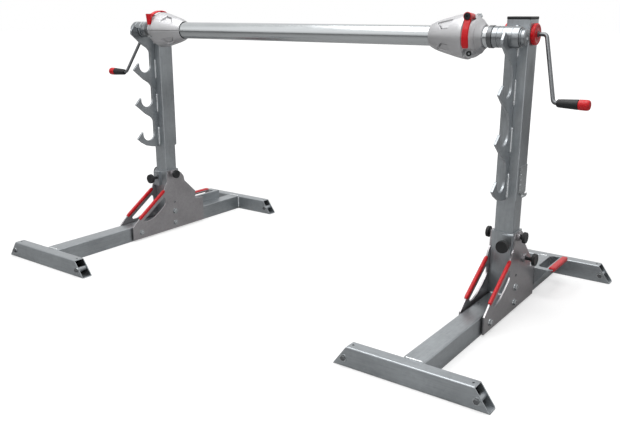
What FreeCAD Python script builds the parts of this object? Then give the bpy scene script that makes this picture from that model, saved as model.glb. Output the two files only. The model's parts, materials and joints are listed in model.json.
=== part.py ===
import FreeCAD, Part
import Sketcher
import math
import os

"""Cable drum jack: two mirrored jacks with telescopic masts and one axle.

Every sub-part is a body in millimetres. The row frame has X along the axle,
Y from the hook side towards the rear and Z up, with the origin on the floor
under the middle of the axle. Each jack is described in its own frame, whose
origin is on the floor at the mast centre, and then placed left or right.
"""

os.makedirs("parts", exist_ok=True)
document = FreeCAD.newDocument("CableDrumJack")


# Driving sizes in millimetres, one row each: alias, value, what it is.
DRIVING_SIZES = [
    ("spacing", 1524, "distance between the two mast centres"),
    ("mast_rear", 83, "mast centre behind the middle of the feet"),
    ("foot_depth", 40, "foot tube, front to rear"),
    ("foot_height", 60, "foot tube height"),
    ("foot_bottom", 224, "half length of a foot along the floor"),
    ("foot_top", 181, "half length of a foot along its top"),
    ("foot_wall", 3, "wall of the foot tube"),
    ("foot_bolt_height", 25, "through bolts of the feet above the floor"),
    ("foot_bolt_inset", 34, "through bolts inward of the foot's tips"),
    ("bolt_radius", 5, "radius of the through bolts"),
    ("front_reach", 607, "mast centre to front foot centre"),
    ("rear_reach", 441, "mast centre to rear foot centre"),
    ("beam_size", 60, "base beam, square"),
    ("beam_wall", 3, "wall of the base beam"),
    ("plate_thick", 5, "side plate thickness"),
    ("plate_bolt_front", 190, "front plate bolt ahead of the mast centre"),
    ("mast_bolt_height", 81, "height of the mast foot bolt"),
    ("mast_bolt_radius", 6, "radius of the mast foot bolt"),
    ("handle_reach", 66, "rear handle outward of the beam's face"),
    ("handle_height", 90, "underside of the rear handle plate"),
    ("handle_front", 174, "front of the rear handle, behind the mast centre"),
    ("handle_rear", 352, "rear of the rear handle, behind the mast centre"),
    ("socket_size", 70, "mast socket, square"),
    ("socket_wall", 4.5, "wall of the mast socket"),
    ("socket_top", 264, "top of the mast socket"),
    ("inner_size", 60, "inner mast, square"),
    ("inner_wall", 4, "wall of the inner mast"),
    ("inner_top", 690, "top of the inner mast"),
    ("outer_size", 70, "outer mast, square"),
    ("outer_wall", 3, "wall of the outer mast"),
    ("outer_top", 894, "top of the outer mast as shown"),
    ("outer_length", 526, "length of the outer mast"),
    ("cap_thick", 8, "mast cap above the tube"),
    ("hook_pitch", 139, "height step between hooks"),
    ("hook_thick", 8, "hook rail plate thickness"),
    ("throat_radius", 30.4, "radius of a hook throat"),
    ("throat_front", 88, "throat centre in front of the mast centre"),
    ("throat_drop", 78, "lowest point of the top throat below the mast top"),
    ("axle_radius", 30, "outer radius of the axle tube and sleeves"),
    ("axle_wall", 5, "wall of the axle tube"),
    ("journal_radius", 22, "radius of the axle journals"),
    ("cone_radius", 66, "largest radius of a drum cone"),
    ("cone_back", 72, "cone back face, inward of the mast centre"),
    ("cone_length", 187, "length of a drum cone"),
    ("crank_drop", 41, "crank axis below the mast top"),
    ("shelf_drop", 53, "bearing shelf below the crank axis"),
    ("spindle_drop", 370, "lower end of the spindle below the bearing shelf"),
    ("shaft_radius", 8, "radius of the crank shaft"),
    ("crank_radius", 196, "crank throw"),
    ("crank_tilt", 22, "crank angle forward of hanging down, degrees"),
    ("rod_radius", 6, "radius of the crank rod"),
    ("grip_radius", 15, "radius of the crank grip"),
    ("spindle_radius", 11, "radius of the lifting spindle"),
    ("clamp_inset", 10, "clamp screws inward of the widest cone radius"),
    ("front_plunger_side", 17, "front plunger outward of the mast centre"),
    ("front_plunger_height", 230, "height of the front plunger"),
    ("side_plunger_height", 247, "height of the two side plungers"),
    ("rear_plunger_back", 58, "rear plunger behind the mast centre"),
    ("rear_plunger_height", 163, "height of the rear plunger"),
    ("pin_radius", 6, "radius of a plunger pin"),
    ("knob_radius", 20, "radius of a plunger knob"),
    ("run_gap", 0.05, "radial clearance of a running fit"),
    ("free_gap", 0.3, "clearance between parts that pass each other"),
]


class Size:
    """A number in millimetres together with the expression that gives it."""

    def __init__(self, text, value):
        self.text = text
        self.value = float(value)

    def __add__(self, other):
        other = as_size(other)
        return Size("(%s + %s)" % (self.text, other.text), self.value + other.value)

    def __radd__(self, other):
        return as_size(other) + self

    def __sub__(self, other):
        other = as_size(other)
        return Size("(%s - %s)" % (self.text, other.text), self.value - other.value)

    def __rsub__(self, other):
        return as_size(other) - self

    def __mul__(self, factor):
        return Size("(%s * %s)" % (self.text, repr(float(factor))), self.value * factor)

    def __rmul__(self, factor):
        return self * factor

    def __truediv__(self, factor):
        return Size("(%s / %s)" % (self.text, repr(float(factor))), self.value / factor)

    def __neg__(self):
        return Size("(0 - %s)" % self.text, -self.value)


def as_size(number):
    """Give a plain number the same form as a driving size."""
    if isinstance(number, Size):
        return number
    return Size("(%s)" % repr(float(number)), number)


def make_sheet():
    """Write the driving sizes into a spreadsheet and return them by alias."""
    sheet = document.addObject("Spreadsheet::Sheet", "Sizes")
    sizes = {}
    for row, (alias, value, meaning) in enumerate(DRIVING_SIZES, start=1):
        sheet.set("A%d" % row, alias)
        sheet.set("B%d" % row, str(value))
        sheet.set("C%d" % row, meaning)
        sheet.setAlias("B%d" % row, alias)
        sizes[alias] = Size("Sizes." + alias, value)
    document.recompute()
    return sizes


D = make_sheet()
D["outer_bottom"] = D["outer_top"] - D["outer_length"]
D["throat_floor"] = D["outer_top"] - D["throat_drop"]
D["crank_height"] = D["outer_top"] - D["crank_drop"]
BODIES = []


def bind(target, path, size):
    """Tie one property of an object to the sheet."""
    target.setExpression(path, as_size(size).text)


def new_body(label, origin=(0, 0, 0), turn=None):
    """Start a sub-part whose frame sits at the given point of the row frame."""
    body = document.addObject("PartDesign::Body", label)
    body.Label = label
    base = [as_size(value) for value in origin]
    placement = FreeCAD.Placement()
    placement.Base = FreeCAD.Vector(*[value.value for value in base])
    if turn is not None:
        placement.Rotation = turn
    body.Placement = placement
    for axis, value in zip("xyz", base):
        bind(body, "Placement.Base." + axis, value)
    BODIES.append(body)
    return body


def jack_origin(side, height=0):
    """Origin of one jack: on the floor at its mast centre."""
    return (D["spacing"] * (0.5 * side), D["mast_rear"], height)


def across(side, near, far):
    """Span along X for a piece between two outward distances of one jack."""
    if side > 0:
        return (near, far)
    return (-as_size(far), -as_size(near))


def set_primitive_base(feature, base):
    """Place a primitive and tie its base point to the sheet."""
    sizes = [as_size(value) for value in base]
    feature.Placement.Base = FreeCAD.Vector(*[value.value for value in sizes])
    for axis, value in zip("xyz", sizes):
        bind(feature, "Placement.Base." + axis, value)


def block(body, name, x, y, z, cut=False):
    """Add or cut a box between the limits given for each axis."""
    kind = "PartDesign::SubtractiveBox" if cut else "PartDesign::AdditiveBox"
    feature = body.newObject(kind, name)
    set_primitive_base(feature, (x[0], y[0], z[0]))
    for path, limits in (("Length", x), ("Width", y), ("Height", z)):
        extent = as_size(limits[1]) - limits[0]
        setattr(feature, path, extent.value)
        bind(feature, path, extent)
    return feature


TURN_ALONG = {
    "x": FreeCAD.Rotation(FreeCAD.Vector(0, 1, 0), 90),
    "y": FreeCAD.Rotation(FreeCAD.Vector(1, 0, 0), -90),
    "z": FreeCAD.Rotation(),
}


def rod_base(axis, centre, start):
    """Start point of a round feature on the axis through the centre."""
    if axis == "x":
        return (start, centre[0], centre[1])
    if axis == "y":
        return (centre[0], start, centre[1])
    return (centre[0], centre[1], start)


def rod(body, name, axis, centre, radius, span, cut=False):
    """Add or cut a cylinder along one axis between the two limits."""
    kind = "PartDesign::SubtractiveCylinder" if cut else "PartDesign::AdditiveCylinder"
    feature = body.newObject(kind, name)
    feature.Placement = FreeCAD.Placement(FreeCAD.Vector(), TURN_ALONG[axis])
    set_primitive_base(feature, rod_base(axis, centre, span[0]))
    height = as_size(span[1]) - span[0]
    feature.Radius = as_size(radius).value
    feature.Height = height.value
    bind(feature, "Radius", radius)
    bind(feature, "Height", height)
    return feature


def taper(body, name, axis, centre, radii, span, cut=False):
    """Add or cut a cone frustum along one axis between the two limits."""
    kind = "PartDesign::SubtractiveCone" if cut else "PartDesign::AdditiveCone"
    feature = body.newObject(kind, name)
    feature.Placement = FreeCAD.Placement(FreeCAD.Vector(), TURN_ALONG[axis])
    set_primitive_base(feature, rod_base(axis, centre, span[0]))
    height = as_size(span[1]) - span[0]
    feature.Radius1 = as_size(radii[0]).value
    feature.Radius2 = as_size(radii[1]).value
    feature.Height = height.value
    bind(feature, "Radius1", radii[0])
    bind(feature, "Radius2", radii[1])
    bind(feature, "Height", height)
    return feature


PLANE_NORMAL_SIGN = {"XY": 1, "XZ": -1, "YZ": 1}


def attach(body, name, plane, height):
    """Put a sketch on an origin plane of the body at a signed height."""
    sketch = body.newObject("Sketcher::SketchObject", name)
    for feature in body.Origin.OriginFeatures:
        if getattr(feature, "Role", "") == plane + "_Plane":
            sketch.AttachmentSupport = [(feature, "")]
    sketch.MapMode = "FlatFace"
    offset = as_size(height) * PLANE_NORMAL_SIGN[plane]
    sketch.AttachmentOffset = FreeCAD.Placement(
        FreeCAD.Vector(0, 0, offset.value), FreeCAD.Rotation())
    bind(sketch, "AttachmentOffset.Base.z", offset)
    return sketch


def pin_vertex(sketch, line, point, index):
    """Tie the start of one sketch line to the sheet."""
    for kind, value, tag in (("DistanceX", point[0], "x"), ("DistanceY", point[1], "y")):
        value = as_size(value)
        number = sketch.addConstraint(
            Sketcher.Constraint(kind, -1, 1, line, 1, value.value))
        name = "%s%d" % (tag, index)
        sketch.renameConstraint(number, name)
        bind(sketch, "Constraints." + name, value)


def draw_outline(sketch, points):
    """Draw a closed straight-sided outline whose corners follow the sheet."""
    corners = [(as_size(a), as_size(b)) for a, b in points]
    count = len(corners)
    vectors = [FreeCAD.Vector(a.value, b.value, 0) for a, b in corners]
    for index in range(count):
        sketch.addGeometry(
            Part.LineSegment(vectors[index], vectors[(index + 1) % count]), False)
    for index in range(count):
        sketch.addConstraint(
            Sketcher.Constraint("Coincident", index, 2, (index + 1) % count, 1))
    for index, corner in enumerate(corners):
        pin_vertex(sketch, index, corner, index)


def plate(body, name, plane, points, span, cut=False):
    """Pad or pocket an outline between two limits normal to the plane."""
    sign = PLANE_NORMAL_SIGN[plane]
    low, high = (span[0], span[1]) if sign > 0 else (span[1], span[0])
    sketch = attach(body, name + "Sketch", plane, high if cut else low)
    draw_outline(sketch, points)
    kind = "PartDesign::Pocket" if cut else "PartDesign::Pad"
    feature = body.newObject(kind, name)
    feature.Profile = sketch
    length = as_size(span[1]) - span[0]
    feature.Length = length.value
    bind(feature, "Length", length)
    sketch.Visibility = False
    return feature


def revolve(body, name, points):
    """Turn a closed outline of (along X, radius) pairs about the local X axis."""
    sketch = attach(body, name + "Sketch", "XZ", 0)
    draw_outline(sketch, points)
    feature = body.newObject("PartDesign::Revolution", name)
    feature.Profile = sketch
    feature.ReferenceAxis = (sketch, ["H_Axis"])
    feature.Angle = 360
    return feature


def square_tube(body, name, half, wall, z):
    """Upright square tube centred on the jack."""
    block(body, name, (-half, half), (-half, half), z)
    inside = as_size(half) - wall
    block(body, name + "Bore", (-inside, inside), (-inside, inside),
          (as_size(z[0]) - 1, as_size(z[1]) + 1), cut=True)


def bolt_hole(radius=D["bolt_radius"]):
    """Radius of the clearance hole for a through bolt."""
    return radius + 0.2


def make_foot(side, name, reach):
    """Cross foot: sloping-ended tube with a spacer and screw hole at each end."""
    body = new_body(name, jack_origin(side))
    y = (as_size(reach) - D["foot_depth"] / 2, as_size(reach) + D["foot_depth"] / 2)
    low = D["foot_bottom"]
    top = D["foot_top"]
    plate(body, "Tube", "XZ",
          [(-low, 0), (low, 0), (top, D["foot_height"]), (-top, D["foot_height"])], y)
    wall = D["foot_wall"]
    block(body, "Bore", (-low - 5, low + 5), (y[0] + wall, y[1] - wall),
          (wall, D["foot_height"] - wall), cut=True)
    for tag, end in (("A", -1), ("B", 1)):
        centre = ((low - D["foot_bolt_inset"]) * end, D["foot_bolt_height"])
        rod(body, "Spacer" + tag, "y", centre, 9, y)
        rod(body, "BoltHole" + tag, "y", centre, bolt_hole(), (y[0] - 1, y[1] + 1), cut=True)
        rod(body, "PegHole" + tag, "z", ((top - 10) * end, reach), 3.5,
            (-1, D["foot_height"] + 1), cut=True)
    return body


def make_beam(side, name):
    """Base beam between the feet, with packer strips under the side plates."""
    body = new_body(name, jack_origin(side))
    half = D["beam_size"] / 2
    inside = half - D["beam_wall"]
    front = -D["front_reach"] + D["foot_depth"] / 2
    rear = D["rear_reach"] - D["foot_depth"] / 2
    block(body, "Tube", (-half, half), (front, rear), (0, D["beam_size"]))
    block(body, "Bore", (-inside, inside), (front - 1, rear + 1),
          (D["beam_wall"], D["beam_size"] - D["beam_wall"]), cut=True)
    packer = D["socket_size"] / 2
    block(body, "PackerA", (half, packer), (-228, 150), (8, 52))
    block(body, "PackerB", (-packer, -half), (-228, 150), (8, 52))
    for tag, y in (("A", 0), ("B", -D["plate_bolt_front"])):
        rod(body, "BoltHole" + tag, "x", (y, half), bolt_hole(), (-packer - 1, packer + 1),
            cut=True)
    return body


PLATE_OUTLINE = [
    (-235, 5), (-235, 60), (-198, 91), (-56, 183), (-49, 200), (-36, 214),
    (-30, 262), (20, 262), (46, 244), (60, 226), (64, 206), (126, 147),
    (124, 114), (172, 110), (172, 5),
]
SLOT_OUTLINE = [
    (-174, 80), (-60, 154), (-51, 146), (-50, 128), (-58, 117), (-84, 99),
    (-116, 80), (-146, 71), (-170, 71),
]


def bushing(body, name, outward, y, z, face, height, radius):
    """Round boss for a plunger on a plate face, drilled for the pin."""
    if outward > 0:
        span = (face, as_size(face) + height)
    else:
        span = (-as_size(face) - height, -as_size(face))
    rod(body, name, "x", (y, z), radius, span)
    hole = D["pin_radius"] + D["run_gap"]
    if outward > 0:
        through = (as_size(face) - D["plate_thick"] - 1, span[1] + 1)
    else:
        through = (span[0] - 1, -as_size(face) + D["plate_thick"] + 1)
    rod(body, name + "Hole", "x", (y, z), hole, through, cut=True)


def make_side_plate(side, name, outer):
    """Upright plate beside the socket with a slotted handle edge in front."""
    body = new_body(name, jack_origin(side))
    inner_face = D["socket_size"] / 2
    outer_face = inner_face + D["plate_thick"]
    direction = side if outer else -side
    span = (inner_face, outer_face) if direction > 0 else (-outer_face, -inner_face)
    wide = (span[0] - 1, span[1] + 1)
    plate(body, "Plate", "YZ", PLATE_OUTLINE, span)
    plate(body, "HandleSlot", "YZ", SLOT_OUTLINE, wide, cut=True)
    beam_bolt = D["beam_size"] / 2
    for tag, y, z, radius in (("A", 0, D["mast_bolt_height"], bolt_hole(D["mast_bolt_radius"])),
                              ("B", 0, D["mast_bolt_height"] + 40, 5),
                              ("C", -D["plate_bolt_front"], beam_bolt, bolt_hole()),
                              ("D", 0, beam_bolt, bolt_hole())):
        rod(body, "BoltHole" + tag, "x", (y, z), radius, wide, cut=True)
    bushing(body, "TopBushing", direction, 0, D["side_plunger_height"], outer_face, 6, 13)
    if outer:
        bushing(body, "RearBushing", direction, D["rear_plunger_back"],
                D["rear_plunger_height"], outer_face, 8, 15)
    return body


def make_front_grips(side, name):
    """Two soft channel grips pushed over the handle edges of the side plates."""
    body = new_body(name, jack_origin(side))
    inner_face = D["socket_size"] / 2
    outer_face = inner_face + D["plate_thick"]
    outline = [(-202, 94.5), (-58.5, 187.5), (-47, 169), (-190, 76)]
    channel = [(-215, 80.6), (-45, 191), (-34, 172), (-200, 64.5)]
    for tag, sign in (("A", 1), ("B", -1)):
        plate(body, "Grip" + tag, "YZ", outline,
              across(sign, inner_face - 5.5, outer_face + 5.5))
        plate(body, "Channel" + tag, "YZ", channel, across(sign, inner_face, outer_face),
              cut=True)
    return body


def make_rear_handle(side, name):
    """Horizontal handle plate on the outer side of the beam, with its webs."""
    body = new_body(name, jack_origin(side))
    beam = D["beam_size"] / 2
    edge = beam + D["handle_reach"]
    low = D["handle_height"]
    front = D["handle_front"]
    rear = D["handle_rear"]
    plate_points = [(beam, front), (edge - 14, front), (edge, front + 14), (edge, rear - 14),
                    (edge - 14, rear), (beam, rear)]
    slot_points = [(beam + 12, front + 32), (beam + 22, front + 22), (edge - 22, front + 22),
                   (edge - 22, rear - 22), (beam + 22, rear - 22), (beam + 12, rear - 32)]
    points = [(value * side, y) for value, y in plate_points]
    slot = [(value * side, y) for value, y in slot_points]
    plate(body, "Tray", "XY", points, (low, low + D["plate_thick"]))
    plate(body, "HandSlot", "XY", slot, (low - 1, low + D["plate_thick"] + 1), cut=True)
    thick = D["plate_thick"]
    block(body, "Flange", across(side, beam, beam + thick), (front, rear), (20, low + 1))
    web = [(beam, 20), (edge - 20, low - 6), (edge - 16, low + 2), (beam, low + 2)]
    web = [(value * side, z) for value, z in web]
    plate(body, "FrontWeb", "XZ", web, (front, front + thick))
    plate(body, "RearWeb", "XZ", web, (rear - thick, rear))
    return body


def make_rear_grip(side, name):
    """Soft channel grip over the outer edge of the rear handle."""
    body = new_body(name, jack_origin(side))
    edge = D["beam_size"] / 2 + D["handle_reach"]
    low = D["handle_height"]
    high = low + D["plate_thick"]
    front = D["handle_front"] + 16
    rear = D["handle_rear"] - 16
    block(body, "Grip", across(side, edge - 17, edge + 4), (front, rear), (low - 5, high + 5))
    block(body, "Channel", across(side, edge - 20, edge), (front - 1, rear + 1), (low, high),
          cut=True)
    return body


def mast_holes(body, side, half, front):
    """Holes for the plungers and the foot bolt in an upright tube."""
    hole = D["pin_radius"] + D["run_gap"]
    wide = (-half - 1, half + 1)
    rod(body, "PlungerHole", "y", (D["front_plunger_side"] * side, D["front_plunger_height"]),
        hole, (front, -half + 10), cut=True)
    rod(body, "SideHole", "x", (0, D["side_plunger_height"]), hole, wide, cut=True)
    rod(body, "BoltHole", "x", (0, D["mast_bolt_height"]), bolt_hole(D["mast_bolt_radius"]),
        wide, cut=True)


def make_socket(side, name):
    """Upright socket on the beam with the front plunger plate welded on."""
    body = new_body(name, jack_origin(side))
    half = D["socket_size"] / 2
    square_tube(body, "Tube", half, D["socket_wall"], (D["beam_size"], D["socket_top"]))
    out = D["front_plunger_side"]
    height = D["front_plunger_height"]
    block(body, "PlungerPlate", across(side, out - 16, out + 16), (-half - 10, -half),
          (height - 33, height + 27))
    mast_holes(body, side, half, -half - 11)
    return body


def make_inner_mast(side, name):
    """Inner mast standing in the socket, drilled for bolt and plungers."""
    body = new_body(name, jack_origin(side))
    half = D["inner_size"] / 2
    square_tube(body, "Tube", half, D["inner_wall"], (D["beam_size"], D["inner_top"]))
    mast_holes(body, side, half, -half - 1)
    return body


def make_outer_mast(side, name):
    """Outer mast sliding over the inner mast, bored for the crank shaft."""
    body = new_body(name, jack_origin(side))
    half = D["outer_size"] / 2
    square_tube(body, "Tube", half, D["outer_wall"], (D["outer_bottom"], D["outer_top"]))
    rod(body, "ShaftHole", "x", (0, D["crank_height"]), 10, (-half - 1, half + 1), cut=True)
    return body


def hook_front_edge():
    """Corners of the rail's front edge from the top throat to the bottom."""
    radius = D["throat_radius"]
    centre = -D["throat_front"]
    web = centre + radius
    corners = []
    for step in range(4):
        floor = D["throat_floor"] - D["hook_pitch"] * step
        tall = 8 if step == 0 else 0
        corners.append((web, floor + radius + 8))
        corners.append((web, floor + radius))
        corners.append((centre - radius, floor + radius))
        corners.append((centre - radius, floor + 38))
        corners.append((centre - radius - 4 - 1.5 * tall, floor + 38 + tall))
        corners.append((centre - 61, floor + 13 + 1.5 * tall))
        if step == 0:
            corners.append((centre - 61, floor + 13))
        if step < 3:
            corners.append((centre - 12, floor - 27))
            corners.append((centre + 15, floor - 43))
            corners.append((centre + 25, floor - 54))
            corners.append((web, floor - 68))
        else:
            corners.append((centre - 42, floor - 4))
            corners.append((centre - 14, floor - 20))
            corners.append((centre + 12, floor - 27))
            corners.append((web, floor - 30))
    return corners


def make_hook_rail(side, name):
    """Toothed rail with four open hooks on the front of the outer mast."""
    body = new_body(name, jack_origin(side))
    back = -D["outer_size"] / 2
    web = -D["throat_front"] + D["throat_radius"]
    top = D["throat_floor"] + 62
    bottom = D["throat_floor"] - D["hook_pitch"] * 3 - 30
    points = [(back, bottom), (back, top), (back - 8, top), (web, top - 14)]
    points.extend(hook_front_edge())
    half = D["hook_thick"] / 2
    plate(body, "Rail", "YZ", points, (-half, half))
    for step in range(4):
        height = D["throat_floor"] + D["throat_radius"] - D["hook_pitch"] * step
        rod(body, "Throat%d" % (step + 1), "x", (-D["throat_front"], height),
            D["throat_radius"], (-half - 1, half + 1), cut=True)
    return body


def make_mast_cap(side, name):
    """Plastic cap closing the top of the outer mast."""
    body = new_body(name, jack_origin(side))
    half = D["outer_size"] / 2
    inside = half - D["outer_wall"] - 0.2
    top = D["outer_top"]
    block(body, "Lid", (-half, half), (-half, half), (top, top + D["cap_thick"]))
    block(body, "Plug", (-inside, inside), (-inside, inside), (top - 8, top))
    block(body, "PlugHollow", (-inside + 4, inside - 4), (-inside + 4, inside - 4),
          (top - 9, top), cut=True)
    return body


def make_liner(side, name):
    """Plastic sliding liner fixed in the mouth of the outer mast."""
    body = new_body(name, jack_origin(side))
    outside = D["outer_size"] / 2 - D["outer_wall"]
    inside = D["inner_size"] / 2 + D["free_gap"]
    z = (D["outer_bottom"] + 4, D["outer_bottom"] + 64)
    block(body, "Liner", (-outside, outside), (-outside, outside), z)
    block(body, "Bore", (-inside, inside), (-inside, inside), (z[0] - 1, z[1] + 1), cut=True)
    return body


def make_head_block(side, name):
    """Bearing block in the mast head for the spindle and the crank shaft."""
    body = new_body(name, jack_origin(side))
    inside = D["outer_size"] / 2 - D["outer_wall"] - 0.1
    shelf = D["crank_height"] - D["shelf_drop"]
    block(body, "Shelf", (-inside, inside), (-inside, inside), (shelf, shelf + 12))
    block(body, "Cheek", across(side, inside - 8, inside), (-22, 22), (shelf, shelf + 78))
    rod(body, "SpindleBore", "z", (0, 0), D["spindle_radius"] + D["run_gap"],
        (shelf - 1, shelf + 13), cut=True)
    rod(body, "ShaftBore", "x", (0, D["crank_height"]), D["shaft_radius"] + D["run_gap"],
        across(side, inside - 9, inside + 1), cut=True)
    return body


def make_covers(side, name):
    """Round bearing covers on both side faces of the mast head."""
    body = new_body(name, jack_origin(side))
    face = D["outer_size"] / 2
    centre = (0, D["crank_height"])
    for tag, sign in (("A", 1), ("B", -1)):
        low = across(sign, face, face + 9)
        rod(body, "Disc" + tag, "x", centre, 31, low)
        rim = across(sign, face + 9, face + 12)
        radii = (31, 28) if sign > 0 else (28, 31)
        taper(body, "Rim" + tag, "x", centre, radii, rim)
    rod(body, "ShaftBore", "x", centre, D["shaft_radius"] + D["run_gap"],
        across(side, face - 1, face + 13), cut=True)
    return body


def make_spindle(side, name):
    """Lifting spindle with its thrust collar and bevel gear."""
    body = new_body(name, jack_origin(side))
    shelf = D["crank_height"] - D["shelf_drop"]
    axis = (0, 0)
    gear = D["crank_height"]
    rod(body, "Screw", "z", axis, D["spindle_radius"], (shelf - D["spindle_drop"], shelf + 26))
    rod(body, "Collar", "z", axis, 17, (shelf - D["free_gap"] - 6, shelf - D["free_gap"]))
    rod(body, "GearHub", "z", axis, 17, (shelf + D["free_gap"] + 12, gear - 21))
    taper(body, "Gear", "z", axis, (20.4, 11.4), (gear - 21, gear - 12))
    return body


def make_crank_shaft(side, name):
    """Crank shaft with the driving bevel gear inside the mast head."""
    body = new_body(name, jack_origin(side, D["crank_height"]), crank_turn())
    face = D["outer_size"] / 2
    rod(body, "Shaft", "x", (0, 0), D["shaft_radius"], across(side, 12, face + 26))
    radii = (11.4, 20.4) if side > 0 else (20.4, 11.4)
    taper(body, "Gear", "x", (0, 0), radii, across(side, 12, 21))
    return body


def crank_turn():
    """Crank angle at rest, measured forward of hanging straight down."""
    return FreeCAD.Rotation(FreeCAD.Vector(1, 0, 0), -D["crank_tilt"].value)


def draw_crank_path(sketch, side, start, elbow, foot, drop, tip):
    """Centre line of the crank rod with rounded bends."""
    bend = 14.0
    slope = math.atan2(foot - elbow, drop)
    reach = bend * math.tan((math.pi / 2 - slope) / 2)
    a = FreeCAD.Vector(side * start, 0, 0)
    b = FreeCAD.Vector(side * (elbow - reach), 0, 0)
    along = FreeCAD.Vector(side * math.sin(slope), -math.cos(slope), 0)
    corner = FreeCAD.Vector(side * elbow, 0, 0)
    c = corner + along * reach
    low = FreeCAD.Vector(side * foot, -drop, 0)
    d = low - along * reach
    e = FreeCAD.Vector(side * (foot + reach), -drop, 0)
    f = FreeCAD.Vector(side * tip, -drop, 0)
    centre_top = FreeCAD.Vector(b.x, -bend, 0)
    centre_low = FreeCAD.Vector(e.x, -drop + bend, 0)
    mid_top = centre_top + ((b - centre_top) + (c - centre_top)).normalize() * bend
    mid_low = centre_low + ((d - centre_low) + (e - centre_low)).normalize() * bend
    sketch.addGeometry(Part.LineSegment(a, b), False)
    sketch.addGeometry(Part.Arc(b, mid_top, c), False)
    sketch.addGeometry(Part.LineSegment(c, d), False)
    sketch.addGeometry(Part.Arc(d, mid_low, e), False)
    sketch.addGeometry(Part.LineSegment(e, f), False)


def make_crank_arm(side, name):
    """Bent crank rod from the shaft boss to the grip pin."""
    body = new_body(name, jack_origin(side, D["crank_height"]), crank_turn())
    face = D["outer_size"].value / 2
    drop = D["crank_radius"].value
    path = attach(body, "PathSketch", "XZ", 0)
    draw_crank_path(path, side, face + 26, face + 42, face + 78, drop, face + 194)
    profile = attach(body, "RodSketch", "YZ", (D["outer_size"] / 2 + 26) * side)
    profile.addGeometry(
        Part.Circle(FreeCAD.Vector(), FreeCAD.Vector(0, 0, 1), D["rod_radius"].value), False)
    profile.addConstraint(Sketcher.Constraint("Coincident", 0, 3, -1, 1))
    number = profile.addConstraint(Sketcher.Constraint("Radius", 0, D["rod_radius"].value))
    profile.renameConstraint(number, "rod")
    bind(profile, "Constraints.rod", D["rod_radius"])
    sweep = body.newObject("PartDesign::AdditivePipe", "Rod")
    sweep.Profile = profile
    sweep.Spine = (path, [])
    outer = D["outer_size"] / 2
    rod(body, "Boss", "x", (0, 0), 12, across(side, outer + 12.3, outer + 27))
    rod(body, "BossBore", "x", (0, 0), D["shaft_radius"], across(side, outer + 12, outer + 26),
        cut=True)
    return body


def make_crank_grip(side, name):
    """Free-turning grip on the crank pin."""
    body = new_body(name, jack_origin(side, D["crank_height"]), crank_turn())
    outer = D["outer_size"] / 2
    start = outer + 98
    centre = (0, -D["crank_radius"])
    radius = D["grip_radius"]
    taper(body, "Collar", "x", centre, (12, radius) if side > 0 else (radius, 12),
          across(side, start, start + 5))
    rod(body, "Grip", "x", centre, radius, across(side, start + 5, start + 92))
    taper(body, "End", "x", centre, (radius, 12) if side > 0 else (12, radius),
          across(side, start + 92, start + 98))
    rod(body, "PinBore", "x", centre, D["rod_radius"] + D["run_gap"],
        across(side, start - 1, start + 96.3), cut=True)
    return body


def make_plunger(name, side, axis, point, knob, reach):
    """Sprung index plunger: pin, stem and round knob."""
    body = new_body(name, jack_origin(side))
    sign, inner, stem_end, knob_end = reach
    rod(body, "Pin", axis, point, D["pin_radius"], across(sign, inner, stem_end))
    rod(body, "Knob", axis, point, knob, across(sign, stem_end, knob_end))
    radii = (knob, knob - 4) if sign > 0 else (knob - 4, knob)
    taper(body, "KnobFace", axis, point, radii, across(sign, knob_end, knob_end + 3))
    rod(body, "Neck", axis, point, 9, across(sign, stem_end - 6, stem_end))
    return body


def make_plungers(side, prefix):
    """The four plungers of one jack."""
    half = D["socket_size"] / 2
    plate_face = half + D["plate_thick"]
    inner = D["inner_size"] / 2 - D["inner_wall"] - 3
    knob = D["knob_radius"]
    front = (D["front_plunger_side"] * side, D["front_plunger_height"])
    top = (0, D["side_plunger_height"])
    rear = (D["rear_plunger_back"], D["rear_plunger_height"])
    make_plunger(prefix + "plunger_front", side, "y", front, knob,
                 (-1, inner, half + 36, half + 45))
    make_plunger(prefix + "plunger_outer", side, "x", top, knob - 2,
                 (side, inner, plate_face + 14, plate_face + 21))
    make_plunger(prefix + "plunger_inner", side, "x", top, knob - 2,
                 (-side, inner, plate_face + 14, plate_face + 21))
    make_plunger(prefix + "plunger_rear", side, "x", rear, knob,
                 (side, inner, plate_face + 30, plate_face + 38))


def make_fasteners():
    """Through bolts of both bases: foot ends, beam and mast foot."""
    body = new_body("base_fasteners", (0, D["mast_rear"], 0))
    half = D["socket_size"] / 2 + D["plate_thick"]
    for tag, side in (("Right", 1), ("Left", -1)):
        middle = D["spacing"] * (0.5 * side)
        beam = D["beam_size"] / 2
        for place, y, z, radius in (
                ("Mast", 0, D["mast_bolt_height"], D["mast_bolt_radius"]),
                ("Beam", 0, beam, D["bolt_radius"]),
                ("Front", -D["plate_bolt_front"], beam, D["bolt_radius"])):
            bolt = tag + place
            rod(body, bolt + "Shank", "x", (y, z), radius, (middle - half, middle + half))
            rod(body, bolt + "Head", "x", (y, z), radius + 4,
                (middle + half, middle + half + 7))
            rod(body, bolt + "Nut", "x", (y, z), radius + 3.5,
                (middle - half - 8, middle - half))
        for foot, reach in (("Fore", -D["front_reach"]), ("Aft", D["rear_reach"])):
            for end in (-1, 1):
                x = middle + (D["foot_bottom"] - D["foot_bolt_inset"]) * end
                centre = (x, D["foot_bolt_height"])
                bolt = "%s%s%s" % (tag, foot, "A" if end < 0 else "B")
                y = (reach - D["foot_depth"] / 2, reach + D["foot_depth"] / 2)
                rod(body, bolt + "Shank", "y", centre, D["bolt_radius"], (y[0], y[1] + 5))
                rod(body, bolt + "Head", "y", centre, 8.5, (y[0] - 5, y[0]))
    return body


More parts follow.
